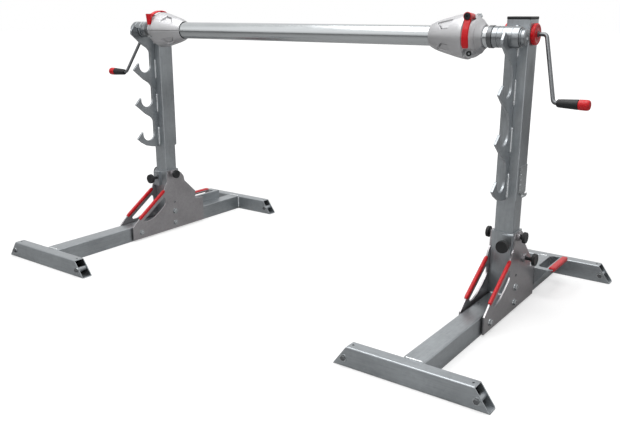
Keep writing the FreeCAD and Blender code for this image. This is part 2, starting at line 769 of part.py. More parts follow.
def make_spindle_nuts():
    """Spindle nuts fixed in the tops of the two inner masts."""
    body = new_body("spindle_nuts", (0, D["mast_rear"], 0))
    half = D["inner_size"] / 2 - D["inner_wall"]
    z = (D["inner_top"] - 42, D["inner_top"])
    for tag, side in (("Right", 1), ("Left", -1)):
        middle = D["spacing"] * (0.5 * side)
        block(body, tag + "Nut", (middle - half, middle + half), (-half, half), z)
        rod(body, tag + "Thread", "z", (middle, 0), D["spindle_radius"] + D["run_gap"],
            (z[0] - 1, z[1] + 1), cut=True)
    return body


def axle_origin():
    """Middle of the axle in the row frame."""
    return (0, D["mast_rear"] - D["throat_front"], D["throat_floor"] + D["throat_radius"])


def make_axle_tube():
    """Tube between the two journals."""
    body = new_body("axle_tube", axle_origin())
    half = D["spacing"] / 2 - 60
    rod(body, "Tube", "x", (0, 0), D["axle_radius"], (-half, half))
    rod(body, "Bore", "x", (0, 0), D["axle_radius"] - D["axle_wall"], (-half - 1, half + 1),
        cut=True)
    return body


def make_journals():
    """Turned ends of the axle: plug, collar, journal and snap ring."""
    body = new_body("axle_journals", axle_origin())
    bore = D["axle_radius"] - D["axle_wall"]
    for tag, side in (("Right", 1), ("Left", -1)):
        middle = D["spacing"] / 2
        rod(body, tag + "Plug", "x", (0, 0), bore, across(side, middle - 110, middle - 60))
        rod(body, tag + "Collar", "x", (0, 0), D["axle_radius"] + 2,
            across(side, middle - 60, middle - 46))
        rod(body, tag + "Journal", "x", (0, 0), D["journal_radius"],
            across(side, middle - 46, middle + 45))
        rod(body, tag + "Ring", "x", (0, 0), D["journal_radius"] + 4,
            across(side, middle + 33.3, middle + 36.3))
        radii = (D["journal_radius"], D["journal_radius"] - 3)
        taper(body, tag + "Tip", "x", (0, 0), radii if side > 0 else radii[::-1],
              across(side, middle + 45, middle + 48))
    return body


def make_sleeves():
    """Bearing sleeves that rest in the hooks while the journals turn inside."""
    body = new_body("bearing_sleeves", axle_origin())
    bore = D["journal_radius"] + D["run_gap"]
    for tag, side in (("Right", 1), ("Left", -1)):
        middle = D["spacing"] / 2
        span = across(side, middle - 45.7, middle + 33)
        rod(body, tag + "Sleeve", "x", (0, 0), D["axle_radius"], span)
        rod(body, tag + "Bore", "x", (0, 0), bore, (span[0] - 1, span[1] + 1), cut=True)
    return body


def cone_profile(side):
    """Corners of the cone section: inward distance from the mast, radius."""
    back = D["cone_back"]
    length = D["cone_length"]
    widest = D["cone_radius"]
    bore = D["axle_radius"] + D["run_gap"]
    outline = [
        (back, bore), (back, widest * 0.5), (back + 6, widest * 0.58),
        (back + length * 0.11, widest * 0.8), (back + length * 0.18, widest * 0.94),
        (back + length * 0.26, widest), (back + length * 0.36, widest * 0.98),
        (back + length * 0.49, widest * 0.9), (back + length * 0.67, widest * 0.78),
        (back + length * 0.86, widest * 0.64), (back + length * 0.96, widest * 0.54),
        (back + length, widest * 0.5), (back + length, bore),
    ]
    middle = D["spacing"] / 2
    return [((middle - inward) * side, radius) for inward, radius in outline]


CONE_ROLL = {"front": 0, "rear": 180, "top": -90, "bottom": 90}


def cone_body(name, direction):
    """Start a cone piece on the axle's axis, rolled to face its direction."""
    turn = FreeCAD.Rotation(FreeCAD.Vector(1, 0, 0), CONE_ROLL[direction])
    return new_body(name, axle_origin(), turn)


def clamp_centre(side, sign):
    """Centre of a clamp screw: along the axle and across the split."""
    inward = D["cone_back"] + D["cone_length"] * 0.18
    return ((D["spacing"] / 2 - inward) * side, (D["cone_radius"] - D["clamp_inset"]) * sign)


def make_cone_half(side, name, direction):
    """Half shell of a drum cone; direction is the way the half faces."""
    body = cone_body(name, direction)
    revolve(body, "Shell", cone_profile(side))
    low = (D["spacing"] / 2 - D["cone_back"] - D["cone_length"] - 2)
    high = D["spacing"] / 2 - D["cone_back"] + 2
    wide = D["cone_radius"] + 4
    block(body, "OtherHalf", across(side, low, high), (-1, wide), (-wide, wide), cut=True)
    carries_lever = direction in ("front", "top")
    stud_side = side if carries_lever else -side
    stud = clamp_centre(side, stud_side)
    screw = clamp_centre(side, -stud_side)
    rod(body, "StudSeat", "y", stud, 14, (-wide, -20), cut=True)
    rod(body, "ScrewSeat", "y", screw, 14, (-wide, -20), cut=True)
    rod(body, "StudHole", "y", stud, D["pin_radius"] + D["run_gap"], (-21, 0), cut=True)
    if carries_lever:
        rod(body, "ScrewHead", "y", screw, 9, (-30, -19.5))
        rod(body, "ScrewSocket", "y", screw, 4.5, (-31, -25), cut=True)
    return body


def make_cone_lever(side, name, direction):
    """Clamping lever of a drum cone: threaded stud, hub and red arm."""
    body = cone_body(name, direction)
    centre = clamp_centre(side, side)
    lug, screw = centre
    seat = 20 + D["free_gap"]
    rod(body, "Stud", "y", centre, D["pin_radius"], (-60, 29))
    rod(body, "StudNut", "y", centre, 10, (seat, 28))
    rod(body, "Hub", "y", centre, 12, (-76, -seat))
    tip = screw - 84 * side
    arm = [(lug - 9, screw + 4 * side), (lug + 9, screw + 4 * side),
           (lug + 7 - 8 * side, tip), (lug - 7 - 8 * side, tip)]
    plate(body, "Arm", "XZ", arm, (-76, -67.5))
    return body


def make_jack(side, prefix):
    """All the pieces of one jack."""
    make_foot(side, prefix + "front_foot", -D["front_reach"])
    make_foot(side, prefix + "rear_foot", D["rear_reach"])
    make_beam(side, prefix + "beam")
    make_side_plate(side, prefix + "side_plate_outer", True)
    make_side_plate(side, prefix + "side_plate_inner", False)
    make_front_grips(side, prefix + "front_grips")
    make_rear_handle(side, prefix + "rear_handle")
    make_rear_grip(side, prefix + "rear_grip")
    make_socket(side, prefix + "mast_socket")
    make_inner_mast(side, prefix + "inner_mast")
    make_outer_mast(side, prefix + "outer_mast")
    make_hook_rail(side, prefix + "hook_rail")
    make_mast_cap(side, prefix + "mast_cap")
    make_liner(side, prefix + "glide_liner")
    make_head_block(side, prefix + "head_block")
    make_covers(side, prefix + "crank_covers")
    make_spindle(side, prefix + "spindle")
    make_crank_shaft(side, prefix + "crank_shaft")
    make_crank_arm(side, prefix + "crank_arm")
    make_crank_grip(side, prefix + "crank_grip")
    make_plungers(side, prefix)


def make_axle():
    """The axle, its bearings and the two drum cones."""
    make_axle_tube()
    make_journals()
    make_sleeves()
    make_cone_half(1, "right_cone_front", "front")
    make_cone_half(1, "right_cone_rear", "rear")
    make_cone_half(-1, "left_cone_top", "top")
    make_cone_half(-1, "left_cone_bottom", "bottom")
    make_cone_lever(1, "right_cone_lever", "front")
    make_cone_lever(-1, "left_cone_lever", "top")


def check_and_export():
    """Stop on any bad feature, then write one STEP file per body."""
    for item in document.Objects:
        if any(state in ("Invalid", "Error") for state in item.State):
            raise RuntimeError("feature failed: %s in %s" % (item.Name, item.Label))
    for body in BODIES:
        shape = body.Shape
        if shape.isNull() or not shape.isValid() or not shape.Solids:
            raise RuntimeError("bad shape: " + body.Label)
        shape.exportStep("parts/%s.step" % body.Label)


for jack_side, jack_prefix in ((1, "right_"), (-1, "left_")):
    make_jack(jack_side, jack_prefix)
make_fasteners()
make_spindle_nuts()
make_axle()
document.recompute()
check_and_export()
print("bodies", len(BODIES))
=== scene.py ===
import json
import math

import bmesh
import bpy
import numpy as np
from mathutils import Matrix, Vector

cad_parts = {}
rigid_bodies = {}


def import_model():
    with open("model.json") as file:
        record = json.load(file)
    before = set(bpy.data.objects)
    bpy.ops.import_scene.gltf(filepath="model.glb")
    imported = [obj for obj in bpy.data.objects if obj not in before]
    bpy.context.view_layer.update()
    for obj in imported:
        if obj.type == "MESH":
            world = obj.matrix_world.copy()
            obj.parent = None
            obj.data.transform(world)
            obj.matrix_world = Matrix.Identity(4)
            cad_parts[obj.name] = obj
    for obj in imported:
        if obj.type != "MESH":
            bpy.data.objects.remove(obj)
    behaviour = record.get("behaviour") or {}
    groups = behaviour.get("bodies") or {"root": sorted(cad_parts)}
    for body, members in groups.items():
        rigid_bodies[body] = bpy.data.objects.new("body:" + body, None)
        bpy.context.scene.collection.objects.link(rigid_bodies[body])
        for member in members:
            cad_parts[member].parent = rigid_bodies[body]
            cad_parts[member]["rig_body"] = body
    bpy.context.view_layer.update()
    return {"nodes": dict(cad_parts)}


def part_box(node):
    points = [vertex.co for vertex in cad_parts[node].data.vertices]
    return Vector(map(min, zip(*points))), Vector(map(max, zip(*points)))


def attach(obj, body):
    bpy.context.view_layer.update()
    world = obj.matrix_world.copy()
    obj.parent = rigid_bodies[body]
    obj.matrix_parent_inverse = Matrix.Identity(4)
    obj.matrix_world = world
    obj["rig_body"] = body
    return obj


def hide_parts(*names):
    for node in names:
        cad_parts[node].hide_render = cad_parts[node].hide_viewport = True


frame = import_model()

bl_info = {
    "name": "Cable drum jack",
    "version": (1, 0, 0),
    "blender": (4, 5, 0),
    "location": "View3D > Sidebar > Drum jack",
    "description": "Dresses the two jacks and their axle in steel, cast metal and red plastic",
    "category": "Object",
}


def lows(node):
    """Lowest corner of a node of the frame, as an array in metres."""
    return np.array(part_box(node)[0])


def highs(node):
    """Highest corner of a node of the frame, as an array in metres."""
    return np.array(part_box(node)[1])


def middle(node):
    """Middle of a node's box, as an array in metres."""
    return (lows(node) + highs(node)) / 2


MAST_X, MAST_Y = middle("right_outer_mast")[:2]
HALF_MAST = (highs("right_outer_mast")[0] - lows("right_outer_mast")[0]) / 2
HALF_INNER_MAST = 0.03
AXLE = middle("axle_tube")
CRANK_Z = middle("right_crank_covers")[2]
CRANK_TILT = math.radians(22)
CRANK_THROW = 0.196
HOOKS = 4
HOOK_PITCH = 0.139
ALONG_X = (1, 0, 0)
ALONG_Y = (0, 1, 0)
SIDES = (("right", 1.0), ("left", -1.0))


def metres(name, text, value, low, high):
    """A length that a user can change."""
    return bpy.props.FloatProperty(name=name, description=text, default=value, min=low,
                                   max=high, unit="LENGTH")


def tone(name, where, value):
    """The base colour of one finish."""
    return bpy.props.FloatVectorProperty(name=name, description="Colour of " + where,
                                         default=value, size=3, subtype="COLOR")


def watts(name, which, value):
    """The power of one lamp."""
    return bpy.props.FloatProperty(name=name, description="Power of the " + which,
                                   default=value, min=0, max=2000, unit="POWER")


class JackShape(bpy.types.PropertyGroup):
    """Roundings and small sizes of the dressed pieces."""

    tube_corner: metres("Tube corner", "Outer corner radius of the square tubes",
                        0.0045, 0.001, 0.01)
    edge_round: metres("Edge rounding", "Rounding along the edges of plates and blocks",
                       0.0009, 0.0002, 0.003)
    weld_radius: metres("Weld size", "Radius of the weld seams", 0.0032, 0.001, 0.006)
    weld_pitch: metres("Weld ripple", "Distance between the ripples of a weld seam",
                       0.0034, 0.001, 0.01)
    pocket_depth: metres("Pocket depth", "Depth of the recessed pockets in the cones",
                         0.0075, 0.0, 0.012)
    channel_depth: metres("Channel depth", "Depth of the channel around each cone",
                          0.0034, 0.0, 0.008)
    knob_round: metres("Knob rounding", "Rounding of the plunger knobs",
                       0.0026, 0.0005, 0.004)


class JackColours(bpy.types.PropertyGroup):
    """Base colours of the finishes."""

    zinc: tone("Zinc steel", "the zinc plated tubes", (0.315, 0.335, 0.35))
    dull: tone("Dull plate", "the dull plates at the mast foot", (0.33, 0.32, 0.33))
    # On the axle collars this dark colour is painted shade in the gap between mast head and
    # cone; on the crank rods it is the steel's own colour.
    dark: tone("Dark steel and painted shade", "the crank rods and axle collars", (0.13, 0.135, 0.14))
    bright: tone("Bright steel", "turned and bright plated steel", (0.40, 0.42, 0.43))
    polish: tone("Polished tube", "the axle tube", (0.48, 0.50, 0.51))
    sleeve: tone("Sleeve steel", "journals and bearing sleeves", (0.25, 0.265, 0.275))
    seam: tone("Weld seam", "the weld seams", (0.62, 0.64, 0.65))
    cast: tone("Cast aluminium", "the drum cones", (0.46, 0.46, 0.47))
    red: tone("Red plastic", "grips, covers and levers", (0.60, 0.008, 0.014))
    black: tone("Black plastic", "knobs, caps and crank grips", (0.014, 0.015, 0.016))
    white: tone("White plastic", "the sliding liners", (0.72, 0.72, 0.69))
    bronze: tone("Bronze", "the spindle nuts", (0.50, 0.33, 0.13))


class JackStage(bpy.types.PropertyGroup):
    """Camera, lamps and room light."""

    camera_place: bpy.props.FloatVectorProperty(
        name="Camera place", description="Where the camera stands",
        default=(1.536, -2.010, 0.916), size=3, subtype="TRANSLATION", unit="LENGTH")
    camera_turn: bpy.props.FloatProperty(
        name="Camera turn", description="Turn of the camera from straight ahead to the left",
        default=math.radians(36.21), subtype="ANGLE")
    camera_down: bpy.props.FloatProperty(
        name="Camera tilt", description="Tilt of the camera below the horizon",
        default=math.radians(15.61), subtype="ANGLE")
    camera_lens: bpy.props.FloatProperty(
        name="Lens", description="Focal length on a 36 mm wide sensor",
        default=41.92, min=10, max=200, unit="CAMERA")
    key_power: watts("Key lamp", "large lamp in front", 14.0)
    top_power: watts("Top lamp", "wide lamp overhead", 118.0)
    fill_power: watts("Fill lamp", "lamp on the other side", 3.0)
    low_power: watts("Low lamp", "low lamp beside the camera", 7.0)
    room_light: bpy.props.FloatProperty(
        name="Room light", description="Strength of the even light from all around",
        default=0.27, min=0, max=2)


class Wiring:
    """A small helper that makes and links the nodes of one material or world."""

    def __init__(self, owner):
        owner.use_nodes = True
        self.tree = owner.node_tree

    def node(self, kind, **values):
        """A new node with these inputs and settings."""
        made = self.tree.nodes.new("ShaderNode" + kind)
        for key, value in values.items():
            if key in made.inputs:
                made.inputs[key].default_value = value
            else:
                setattr(made, key, value)
        return made

    def link(self, source, target):
        self.tree.links.new(source, target)

    def ranged(self, source, low, high, start=0.3, end=0.7):
        """Spread a value from the range start to end over the range low to high."""
        made = self.node("MapRange", **{"From Min": start, "From Max": end, "To Min": low,
                                        "To Max": high})
        self.link(source, made.inputs["Value"])
        return made.outputs["Result"]

    def joint(self, first, second, operation="ADD"):
        """One value worked out from two."""
        made = self.node("Math", operation=operation)
        self.link(first, made.inputs[0])
        self.link(second, made.inputs[1])
        return made.outputs["Value"]


class Finish(Wiring):
    """A material whose pattern follows the object coordinates."""

    def __init__(self, name):
        super().__init__(bpy.data.materials.new(name))
        self.surface = self.tree.nodes["Principled BSDF"]
        self.place = self.node("TexCoord").outputs["Object"]

    def stretched(self, scale):
        """Object coordinates scaled differently along each axis."""
        made = self.node("Mapping", Scale=scale)
        self.link(self.place, made.inputs["Vector"])
        return made.outputs["Vector"]

    def noise(self, scale, detail, vector=None):
        """Soft noise between 0 and 1."""
        made = self.node("TexNoise", Scale=scale, Detail=detail)
        self.link(vector or self.place, made.inputs["Vector"])
        return made.outputs["Fac"]

    def cells(self, scale):
        """One grey value for each irregular cell."""
        made = self.node("TexVoronoi", Scale=scale)
        self.link(self.place, made.inputs["Vector"])
        grey = self.node("RGBToBW")
        self.link(made.outputs["Color"], grey.inputs["Color"])
        return grey.outputs["Val"]

    def finished(self, colour, strength, roughness, skin, depth, distance, **values):
        """Wire tint, roughness and relief, and set the other inputs.

        The base colour is the colour times a strength around 1.
        """
        tint = self.node("VectorMath", operation="SCALE")
        tint.inputs[0].default_value = tuple(colour)
        self.link(strength, tint.inputs["Scale"])
        self.link(tint.outputs["Vector"], self.surface.inputs["Base Color"])
        self.link(roughness, self.surface.inputs["Roughness"])
        relief = self.node("Bump", Strength=depth, Distance=distance)
        self.link(skin, relief.inputs["Height"])
        self.link(relief.outputs["Normal"], self.surface.inputs["Normal"])
        for key, value in values.items():
            self.surface.inputs[key.replace("_", " ")].default_value = value


GRAIN = {"X": (0.06, 1, 1), "Y": (1, 0.06, 1), "Z": (1, 1, 0.06), "all": (1, 1, 1)}


def steel(name, colour, grain, rough, spangle, metallic=0.9, brushed=1.0):
    """Plated steel: clouded zinc crystals and fine drawing lines along the tube."""
    made = Finish(name)
    lines = made.noise(260, 3, made.stretched(GRAIN[grain]))
    clouds = made.noise(7, 4)
    crystals = made.cells(110)
    shade = made.joint(made.ranged(lines, 1 - 0.07 * brushed, 1 + 0.07 * brushed),
                       made.ranged(clouds, -0.09 * brushed, 0.09 * brushed))
    shade = made.joint(shade, made.ranged(crystals, -spangle, spangle, 0.0, 1.0))
    sheen = made.joint(made.ranged(clouds, rough - 0.07 * brushed, rough + 0.08 * brushed),
                       made.ranged(lines, -0.03 * brushed, 0.03 * brushed))
    made.finished(colour, shade, sheen, lines, 0.12 * brushed, 0.0004, Metallic=metallic)


def cast(name, colour):
    """Tumbled cast aluminium: fine pebbled skin with soft cloudy tone."""
    made = Finish(name)
    skin = made.noise(420, 3)
    clouds = made.noise(11, 3)
    made.finished(colour, made.ranged(clouds, 0.92, 1.06), made.ranged(skin, 0.34, 0.48),
                  skin, 0.16, 0.0004, Metallic=0.7)


def plastic(name, colour, rough, grain, clear=0.0):
    """Moulded plastic: slight tone drift and a fine moulded grain."""
    made = Finish(name)
    skin = made.noise(grain, 2)
    clouds = made.noise(16, 3)
    made.finished(colour, made.ranged(clouds, 0.9, 1.08),
                  made.ranged(skin, rough - 0.04, rough + 0.07), skin, 0.1, 0.0003,
                  Specular_IOR_Level=0.3, Coat_Weight=clear, Coat_Roughness=0.12)


def make_materials():
    """All the finishes, by name."""
    tones = bpy.context.scene.jack_colours
    for axis in "XYZ":
        steel("zinc steel along " + axis, tones.zinc, axis, 0.36, 0.05)
        steel("bright steel along " + axis, tones.bright, axis, 0.24, 0.0, 0.95)
    steel("dull plate", tones.dull, "all", 0.36, 0.06)
    steel("dark steel and painted shade", tones.dark, "all", 0.34, 0.0)
    steel("weld", tones.seam, "all", 0.3, 0.1)
    steel("polished tube", tones.polish, "X", 0.2, 0.0, 1.0, 0.3)
    steel("sleeve steel", tones.sleeve, "X", 0.24, 0.0, 0.97)
    cast("cast aluminium", tones.cast)
    plastic("red plastic", tones.red, 0.36, 700, 0.08)
    plastic("black plastic", tones.black, 0.46, 900)
    plastic("white plastic", tones.white, 0.45, 700)
    steel("bronze", tones.bronze, "Z", 0.3, 0.0, 0.95)


def finish_of(name):
    """A finish by its name; the first call makes them all."""
    if "zinc steel along Z" not in bpy.data.materials:
        make_materials()
    return bpy.data.materials[name]


def unit(vectors):
    """The same directions with length 1."""
    vectors = np.asarray(vectors, float)
    return vectors / np.linalg.norm(vectors, axis=-1, keepdims=True)


def circle(steps):
    """Points (cos t, sin t) for t from 0 to a full turn."""
    t = np.linspace(0, 2 * math.pi, steps, endpoint=False)
    return np.stack([np.cos(t), np.sin(t)], -1)


def surface(grid, wrap_rows=False, wrap_columns=True):
    """A rows by columns by 3 array of points as a pair of points and faces.

    Each face joins four neighbours of the grid; wrapped ends join the start.
    """
    rows, columns = grid.shape[:2]
    r = np.arange(rows if wrap_rows else rows - 1)[:, None]
    c = np.arange(columns if wrap_columns else columns - 1)[None, :]
    below, beside = (r + 1) % rows, (c + 1) % columns
    faces = [r * columns + c, r * columns + beside, below * columns + beside,
             below * columns + c]
    return grid.reshape(-1, 3), np.stack(faces, -1).reshape(-1, 4)


def joined(parts):
    """Several pairs of points and faces as one."""
    points, faces, count = [], [], 0
    for part_points, part_faces in parts:
        points.append(part_points)
        faces.append(part_faces + count)
        count += len(part_points)
    return np.concatenate(points), np.concatenate(faces)


def clean(mesh, flatten=False):
    """Merge doubled points, drop empty faces and turn all faces outwards."""
    work = bmesh.new()
    work.from_mesh(mesh)
    bmesh.ops.remove_doubles(work, verts=work.verts, dist=2e-6)
    bmesh.ops.dissolve_degenerate(work, edges=work.edges, dist=1e-6)
    if flatten:
        bmesh.ops.dissolve_limit(work, angle_limit=math.radians(1.0), verts=work.verts,
                                 edges=work.edges)
    bmesh.ops.recalc_face_normals(work, faces=work.faces)
    work.to_mesh(mesh)
    work.free()


def even_shading(piece, keep_sharp=True):
    """Weigh the shading by the size of the faces."""
    piece.modifiers.new("Even shading", "WEIGHTED_NORMAL").keep_sharp = keep_sharp


def dress(name, mesh, body, finish, replaced, sharp):
    """Put a mesh into the scene with its finish, shading and body."""
    mesh.materials.append(finish_of(finish))
    mesh.polygons.foreach_set("use_smooth", np.ones(len(mesh.polygons), bool))
    mesh.set_sharp_from_angle(angle=math.radians(sharp))
    piece = bpy.data.objects.new(name, mesh)
    bpy.context.scene.collection.objects.link(piece)
    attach(piece, body)
    if replaced:
        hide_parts(*replaced)
    return piece


def add_piece(name, parts, body, finish, replaced=(), sharp=38, weigh=True):
    """Make a piece of the parts, close its poles and seams, and let it ride."""
    points, faces = joined(parts)
    mesh = bpy.data.meshes.new(name)
    mesh.vertices.add(len(points))
    mesh.vertices.foreach_set("co", np.ascontiguousarray(points, np.float32).ravel())
    mesh.loops.add(faces.size)
    mesh.loops.foreach_set("vertex_index", np.ascontiguousarray(faces, np.int32).ravel())
    mesh.polygons.add(len(faces))
    mesh.polygons.foreach_set("loop_start", np.arange(0, faces.size, 4, dtype=np.int32))
    mesh.update(calc_edges=True)
    clean(mesh)
    piece = dress(name, mesh, body, finish, replaced, sharp)
    if weigh:
        even_shading(piece)


def own_mesh(node, ending):
    """A copy of the node's own mesh, without its material."""
    mesh = frame["nodes"][node].data.copy()
    mesh.name = node + ending
    mesh.materials.clear()
    return mesh


def body_of_node(node):
    return frame["nodes"][node]["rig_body"]


def corners_of(mesh):
    """The mesh's points, one row each."""
    points = np.empty(len(mesh.vertices) * 3, np.float32)
    mesh.vertices.foreach_get("co", points)
    return points.reshape(-1, 3)


def softened(node, finish, width):
    """The node's own form with rounded edges, standing for the plain one."""
    mesh = own_mesh(node, "_edged")
    clean(mesh, flatten=True)
    piece = dress(mesh.name, mesh, body_of_node(node), finish, (node,), 180)
    bevel = piece.modifiers.new("Rounded edges", "BEVEL")
    bevel.width = width
    bevel.segments = 2
    bevel.limit_method = "ANGLE"
    bevel.angle_limit = math.radians(30)
    bevel.use_clamp_overlap = True
    even_shading(piece, False)


def mark_corners(mesh, axis, centre, halves):
    """Weigh the edges along an axis that lie on the outer corners of a tube."""
    near = 5e-5
    across = [place for place in range(3) if place != axis]
    points = corners_of(mesh)[:, across]
    offsets = np.abs(points - np.array(centre)[across])
    on_corner = np.all(np.abs(offsets - np.array(halves)) < near, axis=1)
    ends = np.empty(len(mesh.edges) * 2, np.int32)
    mesh.edges.foreach_get("vertices", ends)
    ends = ends.reshape(-1, 2)
    drift = np.abs(points[ends[:, 0]] - points[ends[:, 1]]).max(axis=1)
    chosen = on_corner[ends].all(axis=1) & (drift < near)
    weights = mesh.attributes.new("bevel_weight_edge", "FLOAT", "EDGE")
    weights.data.foreach_set("value", chosen.astype(np.float32))
    return chosen


def rounded_tube(node, axis, centre, halves, radius):
    """The node's own form with the four long outer corners of its tube rounded."""
    mesh = own_mesh(node, "_tube")
    clean(mesh, flatten=True)
    piece = dress(mesh.name, mesh, body_of_node(node), "zinc steel along " + "XYZ"[axis],
                  (node,), 30)
    chosen = mark_corners(mesh, axis, centre, halves)
    sharp = np.empty(len(mesh.edges), bool)
    edges = mesh.attributes["sharp_edge"].data
    edges.foreach_get("value", sharp)
    edges.foreach_set("value", sharp & ~chosen)
    bevel = piece.modifiers.new("Rounded corners", "BEVEL")
    bevel.width = radius
    bevel.segments = 5
    bevel.limit_method = "WEIGHT"
    bevel.use_clamp_overlap = False
    even_shading(piece)


def paint(node, finish):
    """Give a node of the frame one of the finishes."""
    mesh = frame["nodes"][node].data
    mesh.materials.clear()
    mesh.materials.append(finish_of(finish))


def lathe(start, along, profile, steps=48):
    """Turned form: each (distance, radius) pair sweeps a full circle about the axis.

    A point is start + distance * along + radius * (cos t * a + sin t * b), with
    a and b square to the axis and t from 0 to a full turn.
    """
    along = np.asarray(along, float)
    a = unit(np.cross(along, (0.0, 0.0, 1.0) if abs(along[2]) < 0.9 else (1.0, 0.0, 0.0)))
    ring = circle(steps) @ np.stack([a, np.cross(along, a)])
    distance, radius = np.asarray(profile, float).T[:, :, None, None]
    grid = np.asarray(start, float) + distance * along + radius * ring
    return surface(grid, wrap_rows=radius[[0, -1]].any())


def rounded_profile(corners, radius, steps=4):
    """Corner points joined by small arcs: a quarter-like bend at every inner corner.

    Each bend is the curve (1-s)^2 * before + 2 s (1-s) * corner + s^2 * after.
    """
    corners = np.asarray(corners, float)
    corner = corners[1:-1]
    back, ahead = corners[:-2] - corner, corners[2:] - corner
    shorter = np.minimum(np.linalg.norm(back, axis=1), np.linalg.norm(ahead, axis=1))
    reach = np.minimum(radius, 0.45 * shorter)[:, None]
    first = corner + unit(back) * reach
    last = corner + unit(ahead) * reach
    s = np.linspace(0, 1, steps)[None, :, None]
    bends = ((1 - s) ** 2 * first[:, None] + 2 * s * (1 - s) * corner[:, None]
             + s ** 2 * last[:, None])
    return np.concatenate([corners[:1], bends.reshape(-1, corners.shape[1]), corners[-1:]])


def rounded_section(width, height, radius):
    """Closed rounded rectangle: four quarter circles of the corner radius."""
    steps = 4
    t = (np.arange(4)[:, None] * math.pi / 2 + np.linspace(0, math.pi / 2, steps)).ravel()
    sign_x = np.repeat([1, -1, -1, 1], steps)
    sign_y = np.repeat([1, 1, -1, -1], steps)
    x = sign_x * (width / 2 - radius) + radius * np.cos(t)
    y = sign_y * (height / 2 - radius) + radius * np.sin(t)
    return np.stack([x, y], -1)


def sweep(path, section, side, scales=1.0):
    """Carry a section along a path: point = path + x * side + y * (side x tangent).

    side stays the same along the whole path, so the path lies in a plane
    square to it. The ends are closed by a last ring shrunk to its middle.
    """
    side = np.asarray(side, float)
    up = unit(np.cross(side, unit(np.gradient(np.asarray(path, float), axis=0))))
    scales = np.pad(np.broadcast_to(scales, len(path)), 1)[:, None, None]
    path, up = (np.pad(rows, ((1, 1), (0, 0)), "edge")[:, None] for rows in (path, up))
    return surface(path + scales * (section[:, :1] * side + section[:, 1:] * up))


def bead(start, end, side, radius=None):
    """Weld seam: a round bead whose radius ripples as a row of humps.

    radius * (0.82 + 0.18 * |sin(pi * distance / pitch)|) along a straight line,
    drawn in at both ends.
    """
    shape = bpy.context.scene.jack_shape
    radius = radius or shape.weld_radius
    start, end = np.asarray(start, float), np.asarray(end, float)
    length = np.linalg.norm(end - start)
    s = np.linspace(0, 1, max(8, int(length / shape.weld_pitch * 4)))
    ripple = 0.82 + 0.18 * np.abs(np.sin(math.pi * s * length / shape.weld_pitch))
    taper = np.clip(np.minimum(s, 1 - s) * length / (1.4 * radius), 0.25, 1)
    return sweep(start + (end - start) * s[:, None], radius * circle(10), side,
                 ripple * taper)


def jack_point(sign, out, back, height):
    """A point given outward of the mast, behind it and above the floor."""
    return np.array([sign * (MAST_X + out), MAST_Y + back, height])


def bolt(point, direction, radius, height):
    """Chamfered hexagon head and its washer, both as turned forms."""
    washer = 0.0012
    head = [(washer, 0), (washer, radius), (height - 0.001, radius),
            (height, radius - 0.0012), (height, 0)]
    disc = [(0, 0), (0, radius + 0.003), (washer, radius + 0.0026), (washer, 0)]
    return lathe(point, direction, head, 6), lathe(point, direction, disc, 32)


class DRUMJACK_OT_tubes(bpy.types.Operator):
    """Round-cornered tubes of feet, beams, sockets and masts"""
    bl_idname = "drumjack.tubes"
    bl_label = "Tubes"

    def execute(self, context):
        corner = context.scene.jack_shape.tube_corner
        masts = (("mast_socket", HALF_MAST, 0.4 * corner),
                 ("inner_mast", HALF_INNER_MAST, corner), ("outer_mast", HALF_MAST, corner))
        for name, sign in SIDES:
            x = sign * MAST_X
            for foot in ("_front_foot", "_rear_foot"):
                low, high = lows(name + foot), highs(name + foot)
                rounded_tube(name + foot, 0, (x, (low[1] + high[1]) / 2, high[2] / 2),
                             ((high[1] - low[1]) / 2, high[2] / 2), corner)
            half = highs(name + "_beam")[2] / 2
            rounded_tube(name + "_beam", 1, (x, 0, half), (half, half), corner)
            for tube, half, radius in masts:
                rounded_tube(name + "_" + tube, 2, (x, MAST_Y, 0), (half, half), radius)
        return {"FINISHED"}


class DRUMJACK_OT_parking_clips(bpy.types.Operator):
    """Small sheet clips on the outer faces of the masts that hold a crank at rest"""
    bl_idname = "drumjack.parking_clips"
    bl_label = "Parking clips"

    def execute(self, context):
        sheet, bend, aside = 0.0016, 0.0006, 0.004
        strip = rounded_section(sheet, 0.058, bend)
        lip = [(0.0008, 0.386), (0.0008, 0.378), (0.004, 0.3735), (0.0095, 0.374),
               (0.012, 0.379), (0.012, 0.386)]
        rivet = [(0, 0), (0, 0.0026), (0.001, 0.0022), (0.0014, 0.0012), (0.0014, 0)]
        for name, sign in SIDES:
            line = [jack_point(sign, HALF_MAST + sheet / 2, aside, z) for z in (0.384, 0.47)]
            path = [jack_point(sign, HALF_MAST + out, aside, z) for out, z in lip]
            parts = [sweep(line, strip, ALONG_X),
                     sweep(rounded_profile(path, 0.003, 6), rounded_section(0.02, sheet, bend),
                           ALONG_Y)]
            for height in (0.396, 0.412, 0.428, 0.444, 0.46):
                point = jack_point(sign, HALF_MAST + 0.0014, -0.014, height)
                parts.append(lathe(point, (sign, 0, 0), rivet, 20))
            add_piece(name + "_parking_clip", parts, name + "_mast", "bright steel along Z")
        return {"FINISHED"}


class DRUMJACK_OT_plates(bpy.types.Operator):
    """Side plates, hook rails, handle brackets, caps, liners and head blocks"""
    bl_idname = "drumjack.plates"
    bl_label = "Plates"

    def execute(self, context):
        width = context.scene.jack_shape.edge_round
        for name, _ in SIDES:
            for node, finish, rounding in (
                    ("side_plate_outer", "dull plate", 0.0007),
                    ("side_plate_inner", "dull plate", 0.0007),
                    ("hook_rail", "zinc steel along Z", 0.0012),
                    ("rear_handle", "zinc steel along Y", 0.0008),
                    ("mast_cap", "black plastic", 0.002),
                    ("head_block", "dull plate", width),
                    ("glide_liner", "white plastic", width)):
                softened(name + "_" + node, finish, rounding)
        return {"FINISHED"}


